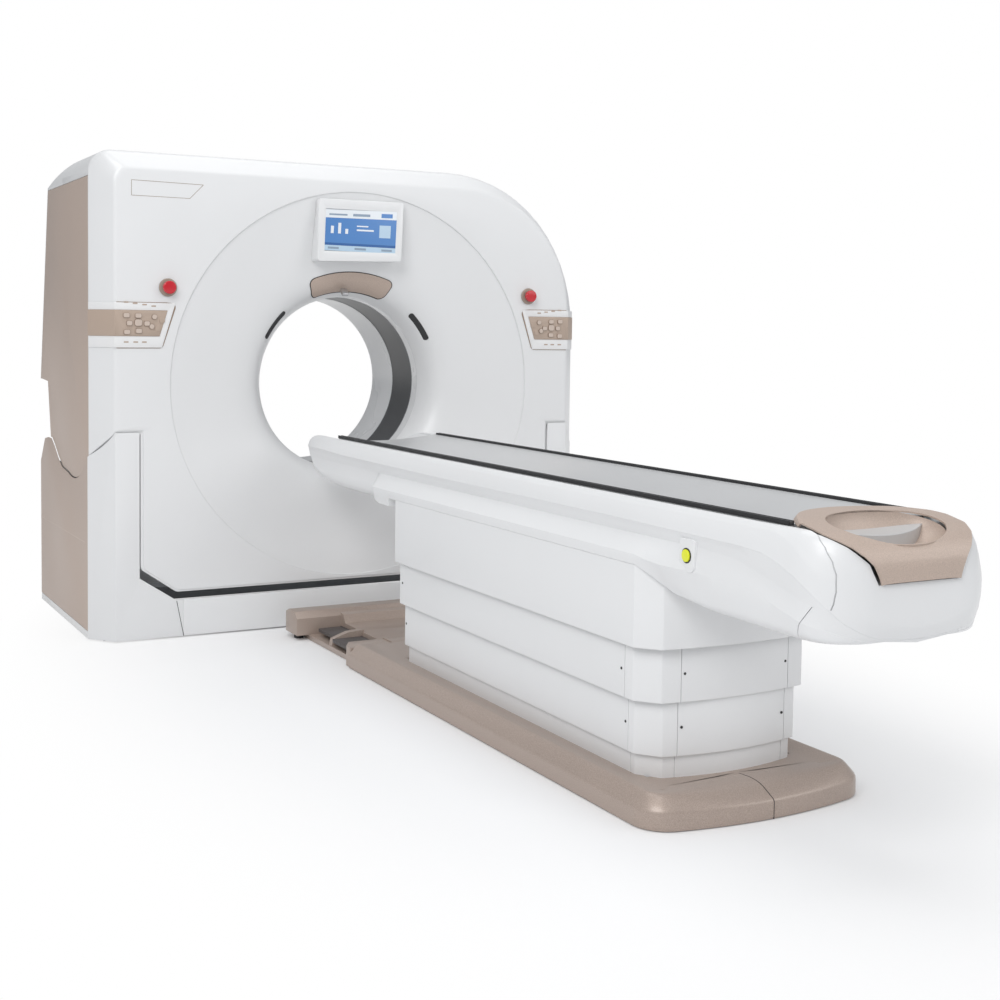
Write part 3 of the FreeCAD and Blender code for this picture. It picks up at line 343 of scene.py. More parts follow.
finishes = {
    "coverWhite": dict(colour=(0.80, 0.805, 0.81), grain=0.012, grainScale=900, roughness=0.36, bump=0.03,
                       coat=0.15),
    "coverShadow": dict(colour=(0.62, 0.63, 0.64), grain=0.015, grainScale=900, roughness=0.45, bump=0.03),
    "innerGrey": dict(colour=(0.30, 0.31, 0.32), grain=0.03, grainScale=700, roughness=0.5),
    "tanMoulding": dict(colour=(0.53, 0.425, 0.36), grain=0.10, grainScale=420, roughness=0.46, metal=0.12,
                        bump=0.10, bumpDepth=0.0003, cloud=0.04),
    "bronzePaint": dict(colour=(0.43, 0.345, 0.295), grain=0.14, grainScale=420, roughness=0.44, metal=0.25,
                        bump=0.06, cloud=0.04, coat=0.3),
    "keypadTan": dict(colour=(0.47, 0.37, 0.30), grain=0.03, grainScale=800, roughness=0.5, bump=0.04),
    "keypadWhite": dict(colour=(0.82, 0.82, 0.82), grain=0.01, grainScale=800, roughness=0.42, bump=0.02),
    "keyLight": dict(colour=(0.60, 0.50, 0.43), grain=0.03, grainScale=800, roughness=0.4, bump=0.03),
    "trimBrown": dict(colour=(0.30, 0.22, 0.17), grain=0.05, grainScale=600, roughness=0.5, bump=0.04),
    "linerWhite": dict(colour=(0.78, 0.785, 0.79), grain=0.012, grainScale=800, roughness=0.28, bump=0.02,
                       coat=0.2),
    "scanWindowGrey": dict(colour=(0.045, 0.047, 0.05), grain=0.04, roughness=0.4, bump=0.02),
    "screenGlass": dict(colour=(0.75, 0.80, 0.86), grain=0.01, roughness=0.12, bump=0.0, coat=0.6),
    "screenBlue": dict(colour=(0.085, 0.24, 0.56), grain=0.02, roughness=0.15, bump=0.0, coat=0.5),
    "screenDeep": dict(colour=(0.04, 0.13, 0.36), grain=0.02, roughness=0.15, bump=0.0, coat=0.5),
    "screenPale": dict(colour=(0.50, 0.66, 0.80), grain=0.02, roughness=0.15, bump=0.0, coat=0.5),
    "screenWhite": dict(colour=(0.82, 0.86, 0.90), grain=0.01, roughness=0.15, bump=0.0, coat=0.5),
    "screenMark": dict(colour=(0.28, 0.36, 0.46), grain=0.02, roughness=0.15, bump=0.0, coat=0.5),
    "rubberBlack": dict(colour=(0.022, 0.022, 0.024), grain=0.15, grainScale=700, roughness=0.6, bump=0.10),
    "railBlack": dict(colour=(0.028, 0.028, 0.030), grain=0.08, grainScale=600, roughness=0.35),
    "railGrey": dict(colour=(0.075, 0.076, 0.080), grain=0.08, grainScale=600, roughness=0.4),
    "pedalGrey": dict(colour=(0.085, 0.075, 0.072), grain=0.12, roughness=0.55, bump=0.12),
    "cradleGrey": dict(colour=(0.565, 0.57, 0.575), grain=0.02, grainScale=650, roughness=0.33, bump=0.03,
                       cloud=0.02),
    "stopRed": dict(colour=(0.56, 0.008, 0.020), grain=0.04, roughness=0.25, bump=0.02, coat=0.5),
    "stopCollar": dict(colour=(0.36, 0.29, 0.24), grain=0.05, roughness=0.4, bump=0.04),
    "buttonYellow": dict(colour=(0.78, 0.82, 0.01), grain=0.03, roughness=0.3, bump=0.02, coat=0.4),
    "screwDark": dict(colour=(0.05, 0.05, 0.05), grain=0.1, grainScale=900, roughness=0.35, metal=0.8),
    "steelPaint": dict(colour=(0.35, 0.36, 0.38), grain=0.05, grainScale=300, roughness=0.45, bump=0.08),
    "bareSteel": dict(colour=(0.52, 0.52, 0.53), grain=0.06, roughness=0.3, metal=0.9),
    "castAluminium": dict(colour=(0.62, 0.63, 0.64), grain=0.06, grainScale=350, roughness=0.42, metal=0.8,
                          bump=0.10),
    "housingGrey": dict(colour=(0.22, 0.24, 0.26), grain=0.05, grainScale=400, roughness=0.45, bump=0.08),
}
materials = {name: paintedFinish(name, look) for name, look in finishes.items()}
slotFinish = {
    "white_cover": "coverWhite", "tan_panel": "tanMoulding", "bronze_cover": "bronzePaint",
    "liner": "linerWhite", "window": "scanWindowGrey", "screen": "screenGlass", "control_tan": "keypadTan",
    "stop_red": "stopRed", "collar_grey": "stopCollar", "dark_trim": "rubberBlack",
    "frame_steel": "steelPaint", "bare_steel": "bareSteel", "aluminium_part": "castAluminium",
    "machine_grey": "housingGrey", "table_grey": "cradleGrey", "pedal_grey": "pedalGrey",
    "button_yellow": "buttonYellow",
}
nodeSlots = {part["node"]: part["material_slot"] for part in frame["record"]["subparts"]}
for nodeName, node in nodes.items():
    node.data.materials.clear()
    node.data.materials.append(materials[slotFinish[nodeSlots[nodeName]]])
print("finishes ready:", len(materials))


# Profiles run from the back to the front face: y with the height of the top, or with the half width.
# Corner radii are given at the face, at the bevel and at the back.
frontCover = {
    "topProfile": ((-252, 1830), (-310, 1830), (-350, 1762), (-350, 1700)), "topRounding": (34, 26),
    "sideProfile": ((-252, 1045.5), (-258, 1045.5), (-350, 970), (-350, 905)), "sideRounding": (9, 26),
    "rightRadii": (495, 595, 637), "leftRadii": (55, 62, 74), "notchRadius": 4, "bellyRadius": 30,
    "bellyHalf": 875, "bellyBottom": 175, "bellyCut": (739, 270), "bellyRounding": 10,
    "seamRadii": ((970, 388), (1045.5, 366)),  # half width and radius of the tilt seam there
    "edgePoints": (24, 14, 3, 16, 6, 40, 6, 16, 3, 26),
    "cutSlope": 0.4, "seamSlope": 0.45,  # how far the belly's rounding takes the cut and the seam along
    "cornerSteps": 14, "roundingSteps": 6, "rimRadius": 772,
    "dish": ((766, -349.2), (762.5, -345), (758, -343.4), (700, -332), (620, -314.5), (550, -299.5),
             (500, -288), (462, -277), (430, -264), (402, -246), (380, -222), (364, -193), (354, -168),
             (350, -151)),
    "wall": 5.0,
}


def seamHeight(x, y):
    radius = readTable(frontCover["seamRadii"], abs(x))
    return isoHeight - math.sqrt(max(radius * radius - y * y, 0.0))


# One loop round the cover, at one depth of its profile
def frontCoverOutline(top, half, topY, sideY, rightRadius, leftRadius, bellyInset):
    belly = frontCover["bellyHalf"] - bellyInset
    low = frontCover["bellyBottom"] + bellyInset
    cutX, cutZ = frontCover["bellyCut"]
    cutInset = frontCover["cutSlope"] * bellyInset
    cutX, cutZ = cutX - cutInset, cutZ + cutInset
    notch = seamHeight(half, sideY) + frontCover["seamSlope"] * bellyInset
    corners = [(-half, top), (half, top), (half, notch), (belly, notch), (belly, cutZ), (cutX, low),
               (-cutX, low), (-belly, cutZ), (-belly, notch), (-half, notch)]
    notchPair, bellyFour = [frontCover["notchRadius"]] * 2, [frontCover["bellyRadius"]] * 4
    radii = [leftRadius, rightRadius] + notchPair + bellyFour + notchPair
    steps = frontCover["cornerSteps"]
    loop = filletLoop(corners, radii, steps)
    groups = [loop[i * (steps + 1):(i + 1) * (steps + 1)] for i in range(len(corners))]
    points = []
    for index, group in enumerate(groups):
        for step, (x, z) in enumerate(group):
            turn = quarterTurn * step / steps
            share = {0: math.sin(turn) ** 2, 1: math.cos(turn) ** 2}.get(index, 0.0)
            points.append((x, between(sideY, topY, share), z))
        last = points[-1]
        nextX, nextZ = groups[(index + 1) % len(groups)][0]
        following = (nextX, topY if index == 0 else sideY, nextZ)
        count = frontCover["edgePoints"][index]
        points += [pointBetween(last, following, step / (count + 1)) for step in range(1, count + 1)]
    return points


def profileRows(keys, radii):
    points = [keys[0]]
    for index, radius in enumerate(radii):
        points += cornerArc(*keys[index:index + 3], radius, frontCover["roundingSteps"])
    return points


def makeFrontCover():
    (backY, ridgeTop), (ridgeY, _), (faceY, faceTop), _ = frontCover["topProfile"]
    rounding = frontCover["bellyRounding"]
    topRows = profileRows(frontCover["topProfile"], frontCover["topRounding"])
    sideRows = profileRows(frontCover["sideProfile"], frontCover["sideRounding"])
    rows = []
    for (topY, top), (sideY, half) in zip(topRows, sideRows):
        inset = max(faceY + rounding - sideY, 0.0)
        bellyInset = rounding - math.sqrt(max(rounding ** 2 - min(inset, rounding) ** 2, 0.0))
        if top < faceTop + 2:  # on the bevel's last rows and the face the rounding is complete
            bellyInset = rounding
        zone, share = 0, clamp((top - faceTop) / (ridgeTop - faceTop))
        if sideY > ridgeY:
            zone, share = 1, (sideY - ridgeY) / (backY - ridgeY)
        rightRadius = between(*frontCover["rightRadii"][zone:zone + 2], share)
        leftRadius = between(*frontCover["leftRadii"][zone:zone + 2], share)
        rows.append(frontCoverOutline(top, half, topY, sideY, rightRadius, leftRadius, bellyInset))
    inner = rows[-1]
    bearings = [math.atan2(x, z - isoHeight) for x, y, z in inner]
    rim = [aroundBore(frontCover["rimRadius"], angle, faceY) for angle in bearings]
    for share in (0.5, 1.0):
        rows.append([pointBetween(a, b, share) for a, b in zip(inner, rim)])
    for radius, y in smoothCurve(frontCover["dish"]):
        rows.append([aroundBore(radius, angle, y) for angle in bearings])
    piece = gridPiece("frontCoverShell", [row + [row[0]] for row in rows])
    editAll(piece, mergeClose, pointOutwards)
    thicken(piece, frontCover["wall"])
    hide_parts("front_cover")
    place(piece, "tilting_gantry", "coverWhite", 40)


makeFrontCover()
print("front cover done")


# The plain covers keep the shape of their nodes; the last number is how far their edges are rounded
for nodeName, pieceName, width in (
    ("top_cover", "topCoverShell", 3.0), ("belly_cover", "bellyCoverShell", 3.0),
    ("rear_cover", "rearCoverShell", 5.0), ("corner_covers", "cornerCovers", 1.6),
    ("base_front_cover", "baseFrontCover", 2.0), ("base_rear_cover", "baseRearCover", 1.6),
):
    roundedCopy(nodeName, pieceName, width, "coverWhite")
for nodeName, pieceName, width in (("upper_side_panels", "upperSidePanels", 1.5),
                                   ("lower_side_panels", "lowerSidePanels", 1.2)):
    roundedCopy(nodeName, pieceName, width, "tanMoulding")
print("gantry covers done")


# Telescoping pedestal. Half width, bottom, height, bow end x and y, bow middle y, start of the
# foot chamfer, head end
pedestalShells = {
    "pedestal_shell_upper": (283, 409, 206, 234, -2820, -2840, -2762, -1280),
    "pedestal_shell_second": (268, 270, 180, 221, -2798, -2819, -2740, -1290),
    "pedestal_shell_third": (253, 131, 175, 207, -2786, -2812, -2727, -1300),
    "pedestal_shell_lower": (242, 50, 193, 200, -2776, -2804, -2718, -1310),
}
shellWall = 7.0
headChamfer = (47, 60)  # at the head end of the shells, across and along
columnShaft = (-228, -2752, 228, -1322)  # the room that the lifting column and the shells slide in


def shellPlan(nodeName, grow=0.0):
    half, _, _, endX, endY, apexY, chamferY, headY = pedestalShells[nodeName]
    half, endX = half + grow, endX + grow
    endY, apexY, headY = endY - grow, apexY - grow, headY + grow
    bow = [(endX * t, apexY + (endY - apexY) * t * t) for t in (k / 5 for k in range(-5, 6))]
    across, along = headChamfer
    return bow + [(half, chamferY), (half, headY - along), (half - across, headY), (across - half, headY),
                  (-half, headY - along), (-half, chamferY)]


# Long table body: one skin swept round its plan, from the nose to the tail and back. Heights and
# insets go by the distance run round the plan: the side, the corner, then the flat end.
tableBody = {
    "half": 255, "corner": 130.0, "tailEnd": -3437.0, "spineEnd": -3335.0, "top": 770, "channelTop": 764,
    "noseTurn": 460, "noseEnd": 786, "smallDrop": 0.05, "collarStart": 1109, "collarEnd": 1276,
    "foldStart": 3350, "foldEnd": 3410, "cornerStart": 3307, "tailMiddle": 3636, "cornerSteps": 16,
    "tailSpots": (-110, -84, -54, -27, 0),
    "sideRuns": (394, 397, 402, 407, 412, 420, 430, 440, 450, 460, 480, 500, 520, 560, 597, 640, 700, 748,
                 818, 900, 1000, 1108, 1114, 1122, 1128, 1134, 1142, 1150, 1160, 1170, 1190, 1230, 1276,
                 1284, 1400, 1640, 2000, 2358, 2600, 2764, 2785, 2806, 2822, 2836, 2850, 2870, 2900, 2930,
                 2960, 2990, 3030, 3065, 3100, 3131, 3170, 3208, 3225, 3242, 3258, 3276, 3292, 3307),
    "noseInset": ((394, 55), (397, 35), (402, 25), (412, 17), (430, 12), (460, 8), (520, 4), (700, 0)),
    "noseTop": ((394, 726), (397, 732), (402, 740), (412, 748), (430, 757), (450, 764), (480, 768),
                (520, 770)),
    "noseBottom": ((394, 718), (398, 700), (404, 685), (417, 662), (440, 640), (474, 620), (560, 602),
                   (651, 592), (786, 588)),
    "rimInset": ((3180, 29), (3307, 42), (3450, 78)),
    "ridge": ((3240, 757), (3274, 747.6), (3308, 735.8), (3336, 715.4), (3364, 691.9), (3388, 673.3),
              (3416, 653.5), (3446, 626), (3476, 604.5), (3512, 587.7), (3552, 574.8), (3592, 569),
              (3636, 565.6)),
    "ridgeInset": ((3240, 14.5), (3274, 12.5), (3308, 9.5), (3336, 6), (3364, 3.5), (3388, 2), (3416, 0.8),
                   (3446, 0)),
    "ridgeLean": ((3240, 0.75), (3308, 0.5), (3336, 0.35), (3440, 0.05)),
    "band": ((394, 724), (577, 725), (818, 719), (1600, 716), (2600, 717), (3131, 713), (3208, 708.6),
             (3242, 700.3), (3276, 690.2), (3322, 671.5), (3358, 646.7), (3388, 620.6), (3410, 603.4),
             (3432, 585), (3466, 567.6), (3492, 556.2), (3522, 547.8), (3582, 541), (3636, 538)),
    "bandInset": ((3364, 0), (3388, 1), (3410, 3), (3446, 5), (3492, 8), (3522, 10), (3636, 12)),
    "shade": ((2990, 684), (3100, 680), (3200, 659), (3278, 638), (3350, 618), (3410, 601)),
    "skirt": ((2764, 640), (2850, 628), (2990, 625), (3125, 623.6), (3210, 612), (3246, 597), (3339, 573),
              (3410, 560), (3466, 546), (3636, 529)),
    "skirtInset": ((1108, 10), (1114, 0), (1122, -13), (1134, -24), (1150, -30), (1170, -31), (2764, -31),
                   (2800, -28), (2850, -18), (2960, 2), (3307, 12), (3410, 13)),
    "edge": ((1108, 618), (1126, 612), (1150, 600), (1190, 588), (1276, 588), (1284, 617), (2764, 617),
             (2806, 592), (2836, 566), (2870, 558), (2950, 557), (3323, 557), (3380, 548), (3432, 543),
             (3511, 540), (3636, 536)),
    "edgeInset": ((1108, 12), (1114, 4), (1122, -8), (1134, -17), (1150, -21), (1276, -22), (1284, -29),
                  (2764, -29), (2806, -6), (2836, 19), (3307, 19), (3432, 16), (3636, 15)),
    "keel": ((1276, 587), (1284, 606), (2822, 606), (2845, 575), (2870, 550), (2990, 532), (3300, 526),
             (3437, 530), (3636, 533)),
    "lip": ((12.5, 764), (8, 768.4), (4, 769.8), (0, 770)),  # inset from the rim, height
    "topFlat": ((3240, 0.4), (3440, 0.75)), "topCurve": 0.66,  # how the top turns down into the ridge
    "curveShares": (0.14, 0.3, 0.46, 0.62, 0.78, 0.93, 1.0),
    "sideBulge": ((0.06, 0.35), (0.28, 1.4), (0.5, 1.6), (0.72, 1.2), (0.93, 0.25), (1.0, 0.0)),
    "shadeInset": 10,
    "noseSkirt": (10.5, 640, 36), "noseEdge": (12, 30),  # inset, lowest place, height above the keel
    "underCurve": ((3, 0.3), (10, 0.6), (24, 0.85), (46, 0.97)),  # inset, share of the way to the keel
    "troughEnds": (("trough", -3600, -1640), ("shallowTrough", -1645, -300)),
    "trough": ((0, 661), (118, 661), (138, 706), (178, 740), (213.5, 764)),
    "shallowTrough": ((0, 699.6), (70, 703.6), (140, 718), (180, 742), (213.5, 764)),
    "tailSeam": ((-3322, 900), (-3330, 775), (-3351, 760), (-3372, 740), (-3391, 712), (-3401, 685),
                 (-3405, 650), (-3402, 625), (-3397, 610), (-3360, 613), (-3341, 589), (-3322, 566),
                 (-3310, 540), (-3304, 440)),
    "seamGap": 2.4, "pocketGrow": -8.0, "pocket": (540, 630), "shaftPocket": (600, 655),
    "above": 900, "behind": -3700, "aside": 400,  # clear of the piece, for the shapes that cut it
}


def tableProfile(run):
    def read(key):
        return readTable(tableBody[key], run)

    top, nose, rim = tableBody["top"], read("noseInset"), read("rimInset")
    ridge, ridgeIn = read("ridge"), read("ridgeInset")
    band, bandIn = read("band"), read("bandInset")
    reach = tableBody["topCurve"] * (top - ridge)
    flat = readTable(tableBody["topFlat"], run)
    knots = [(rim, top), (rim - (rim - ridgeIn) * flat, top),
             (ridgeIn + read("ridgeLean") * reach, ridge + reach), (ridgeIn, ridge)]
    points = [(rim + inset, z) for inset, z in tableBody["lip"]]
    for t in tableBody["curveShares"]:
        weights = ((1 - t) ** 3, 3 * t * (1 - t) ** 2, 3 * t * t * (1 - t), t ** 3)
        points.append(tuple(sum(w * knot[i] for w, knot in zip(weights, knots)) for i in (0, 1)))
    for share, bulge in tableBody["sideBulge"]:
        points.append((between(ridgeIn, bandIn, share) - bulge, between(ridge, band, share)))
    foldStart, shadeIn = tableBody["foldStart"], tableBody["shadeInset"]
    if run >= foldStart:  # the dark recess runs out towards the tail
        shadeIn = max(bandIn + 1.5, shadeIn - (run - foldStart) / 8)
    shade = read("shade") if run < tableBody["foldEnd"] else band - 1.5
    points += [(bandIn + 1.2, band - 1.6), (between(bandIn + 1, shadeIn, 0.5), between(band, shade, 0.5)),
               (shadeIn - 0.4, shade + 1.5), (shadeIn, shade)]
    if run < tableBody["collarStart"]:
        keel = read("noseBottom")
        skirtIn, lowest, above = tableBody["noseSkirt"]
        edgeIn, edgeAbove = tableBody["noseEdge"]
        skirt, edge = max(lowest, keel + above), keel + edgeAbove
    else:
        keel = read("noseBottom") if run < tableBody["collarEnd"] else read("keel")
        skirt, edge = read("skirt"), read("edge")
        skirtIn, edgeIn = read("skirtInset"), read("edgeInset")
    points += [(between(shadeIn, skirtIn, 0.5) - 0.5, between(shade, skirt, 0.5)),
               (skirtIn + 0.3, skirt + 1.5), (skirtIn, skirt),
               (between(skirtIn, edgeIn, 0.5), between(skirt, edge, 0.5)), (edgeIn, edge)]
    drop = edge - keel
    points += [(edgeIn + inset, edge - share * drop) for inset, share in tableBody["underCurve"]]
    return [(inset + nose, z) for inset, z in points], keel


# The run, the place on the plan and the outward direction of each row
def tableStations():
    half, corner, end = tableBody["half"], tableBody["corner"], tableBody["tailEnd"]
    stations = [(run, (-half, -run), (-1.0, 0.0)) for run in tableBody["sideRuns"]]
    for step in range(1, tableBody["cornerSteps"] + 1):
        phi = quarterTurn * step / tableBody["cornerSteps"]
        spot = (-(half - corner) - corner * math.cos(phi), end + corner - corner * math.sin(phi))
        stations.append((tableBody["cornerStart"] + corner * phi, spot, (-math.cos(phi), -math.sin(phi))))
    for x in tableBody["tailSpots"]:
        stations.append((tableBody["tailMiddle"] + x, (x, end), (0.0, -1.0)))
    return stations


def tableRow(run, spot, outward):
    (px, py), (nx, ny) = spot, outward
    topLimit = readTable(tableBody["noseTop"], run)
    bottomLimit = readTable(tableBody["noseBottom"], run) if run < tableBody["noseEnd"] else 0
    spineY = max(py, tableBody["spineEnd"])
    profile, keel = tableProfile(run)
    row = []
    previous = tableBody["top"]
    for index, (inset, z) in enumerate(profile):
        if run > tableBody["noseTurn"] and index >= len(tableBody["lip"]):
            z = min(z, previous - tableBody["smallDrop"])  # below the lip the side always goes down
        previous = z
        row.append((px - nx * inset, py - ny * inset, clamp(z, bottomLimit, topLimit)))
    row[0] = (*row[0][:2], min(tableBody["channelTop"], topLimit))
    last, lidSpine = row[-1], (0, spineY, row[0][2])
    keelSpine = (0, spineY, clamp(keel, bottomLimit, last[2]))
    lid = [pointBetween(lidSpine, row[0], share) for share in (0.0, 0.5)]
    return lid + row + [pointBetween(last, keelSpine, share) for share in (0.33, 0.66, 1.0)]


def makeTableBody():
    piece = gridPiece("tableShell", [tableRow(*station) for station in tableStations()])
    mirrorHalf(piece, closeHoles)
    for key, start, end in tableBody["troughEnds"]:
        half = list(tableBody[key]) + [(tableBody[key][-1][0], tableBody["above"])]
        outline = [(-x, z) for x, z in reversed(half[1:])] + half
        booleanWith(piece, prism("troughCutter", outline, start, end, "y"))
    pocket = shellPlan("pedestal_shell_upper", tableBody["pocketGrow"])
    booleanWith(piece, prism("pocketCutter", pocket, *tableBody["pocket"], "z"))
    booleanWith(piece, prism("shaftPocketCutter", rectangle(*columnShaft), *tableBody["shaftPocket"], "z"))
    tail = copyPiece(piece, "tailCover")
    seam = tableBody["tailSeam"]
    beyond = [(tableBody["behind"], seam[-1][1]), (tableBody["behind"], seam[0][1])]
    wide = tableBody["aside"]
    behind = [(y + tableBody["seamGap"], z) for y, z in seam] + beyond
    booleanWith(piece, prism("seamCutter", behind, -wide, wide, "x"))
    booleanWith(tail, prism("tailCutter", list(seam) + beyond, -wide, wide, "x"), "INTERSECT")
    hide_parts("upper_shell", "collar")
    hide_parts("tail_cover")
    for part in (piece, tail):
        place(part, "table_top", "coverWhite", 24)


makeTableBody()
print("table body done")


# Bronze base of the table: inset and height of its section at the side and at the front of the bow
tableBase = {
    "half": 338.0, "bow": -2968.0, "bowCorner": 92.0, "bowRise": 30.0, "seam": -1081.5, "plateau": 76.0,
    "spineEnd": -2820, "cornerInset": 84, "hollow": (-318, -2880, 318, -1000), "arcSteps": 12,
    "sideSpots": (-1400, -1900, -2400, -2700), "cornerShare": 0.25, "floorGap": 1.5,
    "seamLine": {"half": 1.0, "sunk": 0.5, "raised": 0.4, "depth": 2.5, "low": 2},
    "side": ((7, 1.5), (1.5, 3), (0, 8), (0, 40), (0.8, 47), (4, 53), (24, 76), (28.5, 80), (33, 82.6),
             (38, 83.4), (44, 82.6), (66, 79), (88, 76.6), (100, 76)),
    "bowFront": ((7, 1.5), (1.5, 3), (0, 8), (0, 40), (0.8, 46), (4, 50.5), (24, 60.5), (44, 70), (56, 74),
                 (68, 76.5), (82, 78), (98, 78.6), (118, 77.6), (140, 76)),
}


# Half of the base's edge: place, outward direction and how far the section is that of the front
def basePath():
    half, corner, steps = tableBase["half"], tableBase["bowCorner"], tableBase["arcSteps"]
    bow, rise = tableBase["bow"], tableBase["bowRise"]
    flatHalf = half - corner
    radius = (flatHalf ** 2 + rise ** 2) / (2 * rise)
    tilt = math.asin(flatHalf / radius)
    cornerY = bow + rise + corner * math.cos(tilt)
    centreX = -half + corner
    path = [((-half, y), (-1.0, 0.0), 0.0) for y in (tableBase["seam"], *tableBase["sideSpots"], cornerY)]
    sweep = quarterTurn - tilt
    cornerShare = tableBase["cornerShare"]
    for step in range(1, steps + 1):
        phi = sweep * step / steps
        path.append(((centreX - corner * math.cos(phi), cornerY - corner * math.sin(phi)),
                     (-math.cos(phi), -math.sin(phi)), cornerShare * (step / steps) ** 2))
    lastX, lastY = path[-1][0]
    for step in range(1, steps + 1):
        share = step / steps
        a = tilt * (1 - share)
        x = lastX * math.sin(a) / math.sin(tilt)
        y = bow + (lastY - bow) * (1 - math.cos(a)) / (1 - math.cos(tilt))
        frontShare = between(cornerShare, 1.0, math.sin(quarterTurn * share))
        path.append(((x, y), (-math.sin(a), -math.cos(a)), frontShare))
    return path


def makeTableBase():
    rows = []
    for (px, py), (nx, ny), frontShare in basePath():
        row = []
        for side, front in zip(tableBase["side"], tableBase["bowFront"]):
            inset, z = pointBetween(side, front, frontShare)
            if 0 < frontShare <= tableBase["cornerShare"]:
                inset = min(inset, tableBase["cornerInset"])
            row.append((px - nx * inset, py - ny * inset, z))
        spineY = max(py, tableBase["spineEnd"])
        spine = (0, spineY, tableBase["plateau"])
        row += [pointBetween(row[-1], spine, share) for share in (0.5, 1.0)]
        rows.append([(0, spineY, tableBase["floorGap"])] + row)
    piece = gridPiece("tableBaseCover", rows)
    mirrorHalf(piece, faceOpenEdges)
    booleanWith(piece, prism("hollowCutter", rectangle(*tableBase["hollow"]), -5, 50, "z"))
    booleanWith(piece, prism("shaftCutter", rectangle(*columnShaft), 30, 130, "z"))
    seam = tableBase["seamLine"]
    crest = [(tableBase["bow"] + inset - seam["sunk"], z + seam["raised"])
             for inset, z in tableBase["bowFront"][2:]]
    under = [(y + seam["depth"], z - seam["depth"]) for y, z in reversed(crest)]
    outline = [(crest[0][0], seam["low"])] + crest + under + [(under[-1][0], seam["low"])]
    line = prism("bowSeamLine", outline, -seam["half"], seam["half"], "x")
    place(line, "stand", "rubberBlack")
    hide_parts("table_base_cover")
    place(piece, "stand", "bronzePaint", 30)


pedestalSeams = {"side": -2702.0, "foot": 168.0, "width": 1.8, "depth": 2.5, "overrun": 9, "clear": 5}
pedestalScrews = {"heights": {"pedestal_shell_second": 342.0, "pedestal_shell_third": 205.0},
                  "sidePlaces": (-2690, -1372), "footPlace": 158, "radius": 3.6, "depth": 2.4}


def cutShellSeams(piece, nodeName):
    half, low, height, endX, endY, apexY = pedestalShells[nodeName][:6]
    wide, deep, overrun = pedestalSeams["width"] / 2, pedestalSeams["depth"], pedestalSeams["overrun"]
    side, foot = pedestalSeams["side"] - (half - 253) * 0.2, pedestalSeams["foot"]
    footY = apexY + (endY - apexY) * (foot / endX) ** 2
    ends = (low - overrun, low + height + overrun)
    for sign, _ in bothSides:
        a, b = sorted((sign * (half - deep), sign * (half + pedestalSeams["clear"])))
        x = sign * foot
        booleanWith(piece, prism("sideSeam", rectangle(a, side - wide, b, side + wide), *ends, "z"))
        outline = rectangle(x - wide, footY - overrun, x + wide, footY + deep + 1)
        booleanWith(piece, prism("footSeam", outline, *ends, "z"))


def makeScrews(nodeName, pieceName):
    half, _, _, _, endY, apexY = pedestalShells[nodeName][:6]
    footY = endY + (apexY - endY) * 0.46
    z = pedestalScrews["heights"][nodeName]
    spots = [((sign * half, y, z), (0, quarterTurn, 0))
             for y in pedestalScrews["sidePlaces"] for sign in (-1, 1)]
    spots += [((sign * pedestalScrews["footPlace"], footY, z), (quarterTurn, 0, 0)) for sign in (-1, 1)]
    for number, (spot, turn) in enumerate(spots):
        name = "screw" + pieceName[0].upper() + pieceName[1:] + str(number)
        screw = addCylinder(name, pedestalScrews["radius"], pedestalScrews["depth"], spot, turn, 24)
        softenEdges(screw, 0.4, 2)
        place(screw, nodes[nodeName]["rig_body"], "screwDark", 40)


def makeShell(nodeName, pieceName):
    low, height = pedestalShells[nodeName][1:3]
    piece = prism(pieceName, shellPlan(nodeName), low, low + height, "z")
    softenEdges(piece, 3.0, 3, 20)
    inside = shellPlan(nodeName, -shellWall)
    booleanWith(piece, prism("insideCutter", inside, low - 20, low + height + 20, "z"))
    if nodeName != "pedestal_shell_upper":
        cutShellSeams(piece, nodeName)
    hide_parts(nodeName)
    place(piece, nodes[nodeName]["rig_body"], "coverWhite", 22)
    if nodeName in pedestalScrews["heights"]:
        makeScrews(nodeName, pieceName)


makeTableBase()
for size in ("upper", "second", "third", "lower"):
    makeShell("pedestal_shell_" + size, "pedestalShell" + size.title())
for nodeName, pieceName, width, finish, slotName in (
    ("table_rear_cover", "tableRearCover", 5.0, "bronzePaint", "bronze_cover"),
    ("beam_feet", "beamFeet", 1.5, "rubberBlack", "pedal_grey"),
    ("gantry_side_pedal_left", "gantrySidePedalLeft", 2.0, "pedalGrey", "pedal_grey"),
    ("gantry_side_pedal_right", "gantrySidePedalRight", 2.0, "pedalGrey", "pedal_grey"),
    ("table_side_pedal_left", "tableSidePedalLeft", 2.0, "pedalGrey", "pedal_grey"),
    ("table_side_pedal_right", "tableSidePedalRight", 2.0, "pedalGrey", "pedal_grey"),
):
    roundedCopy(nodeName, pieceName, width, finish)
print("base and pedestal done")


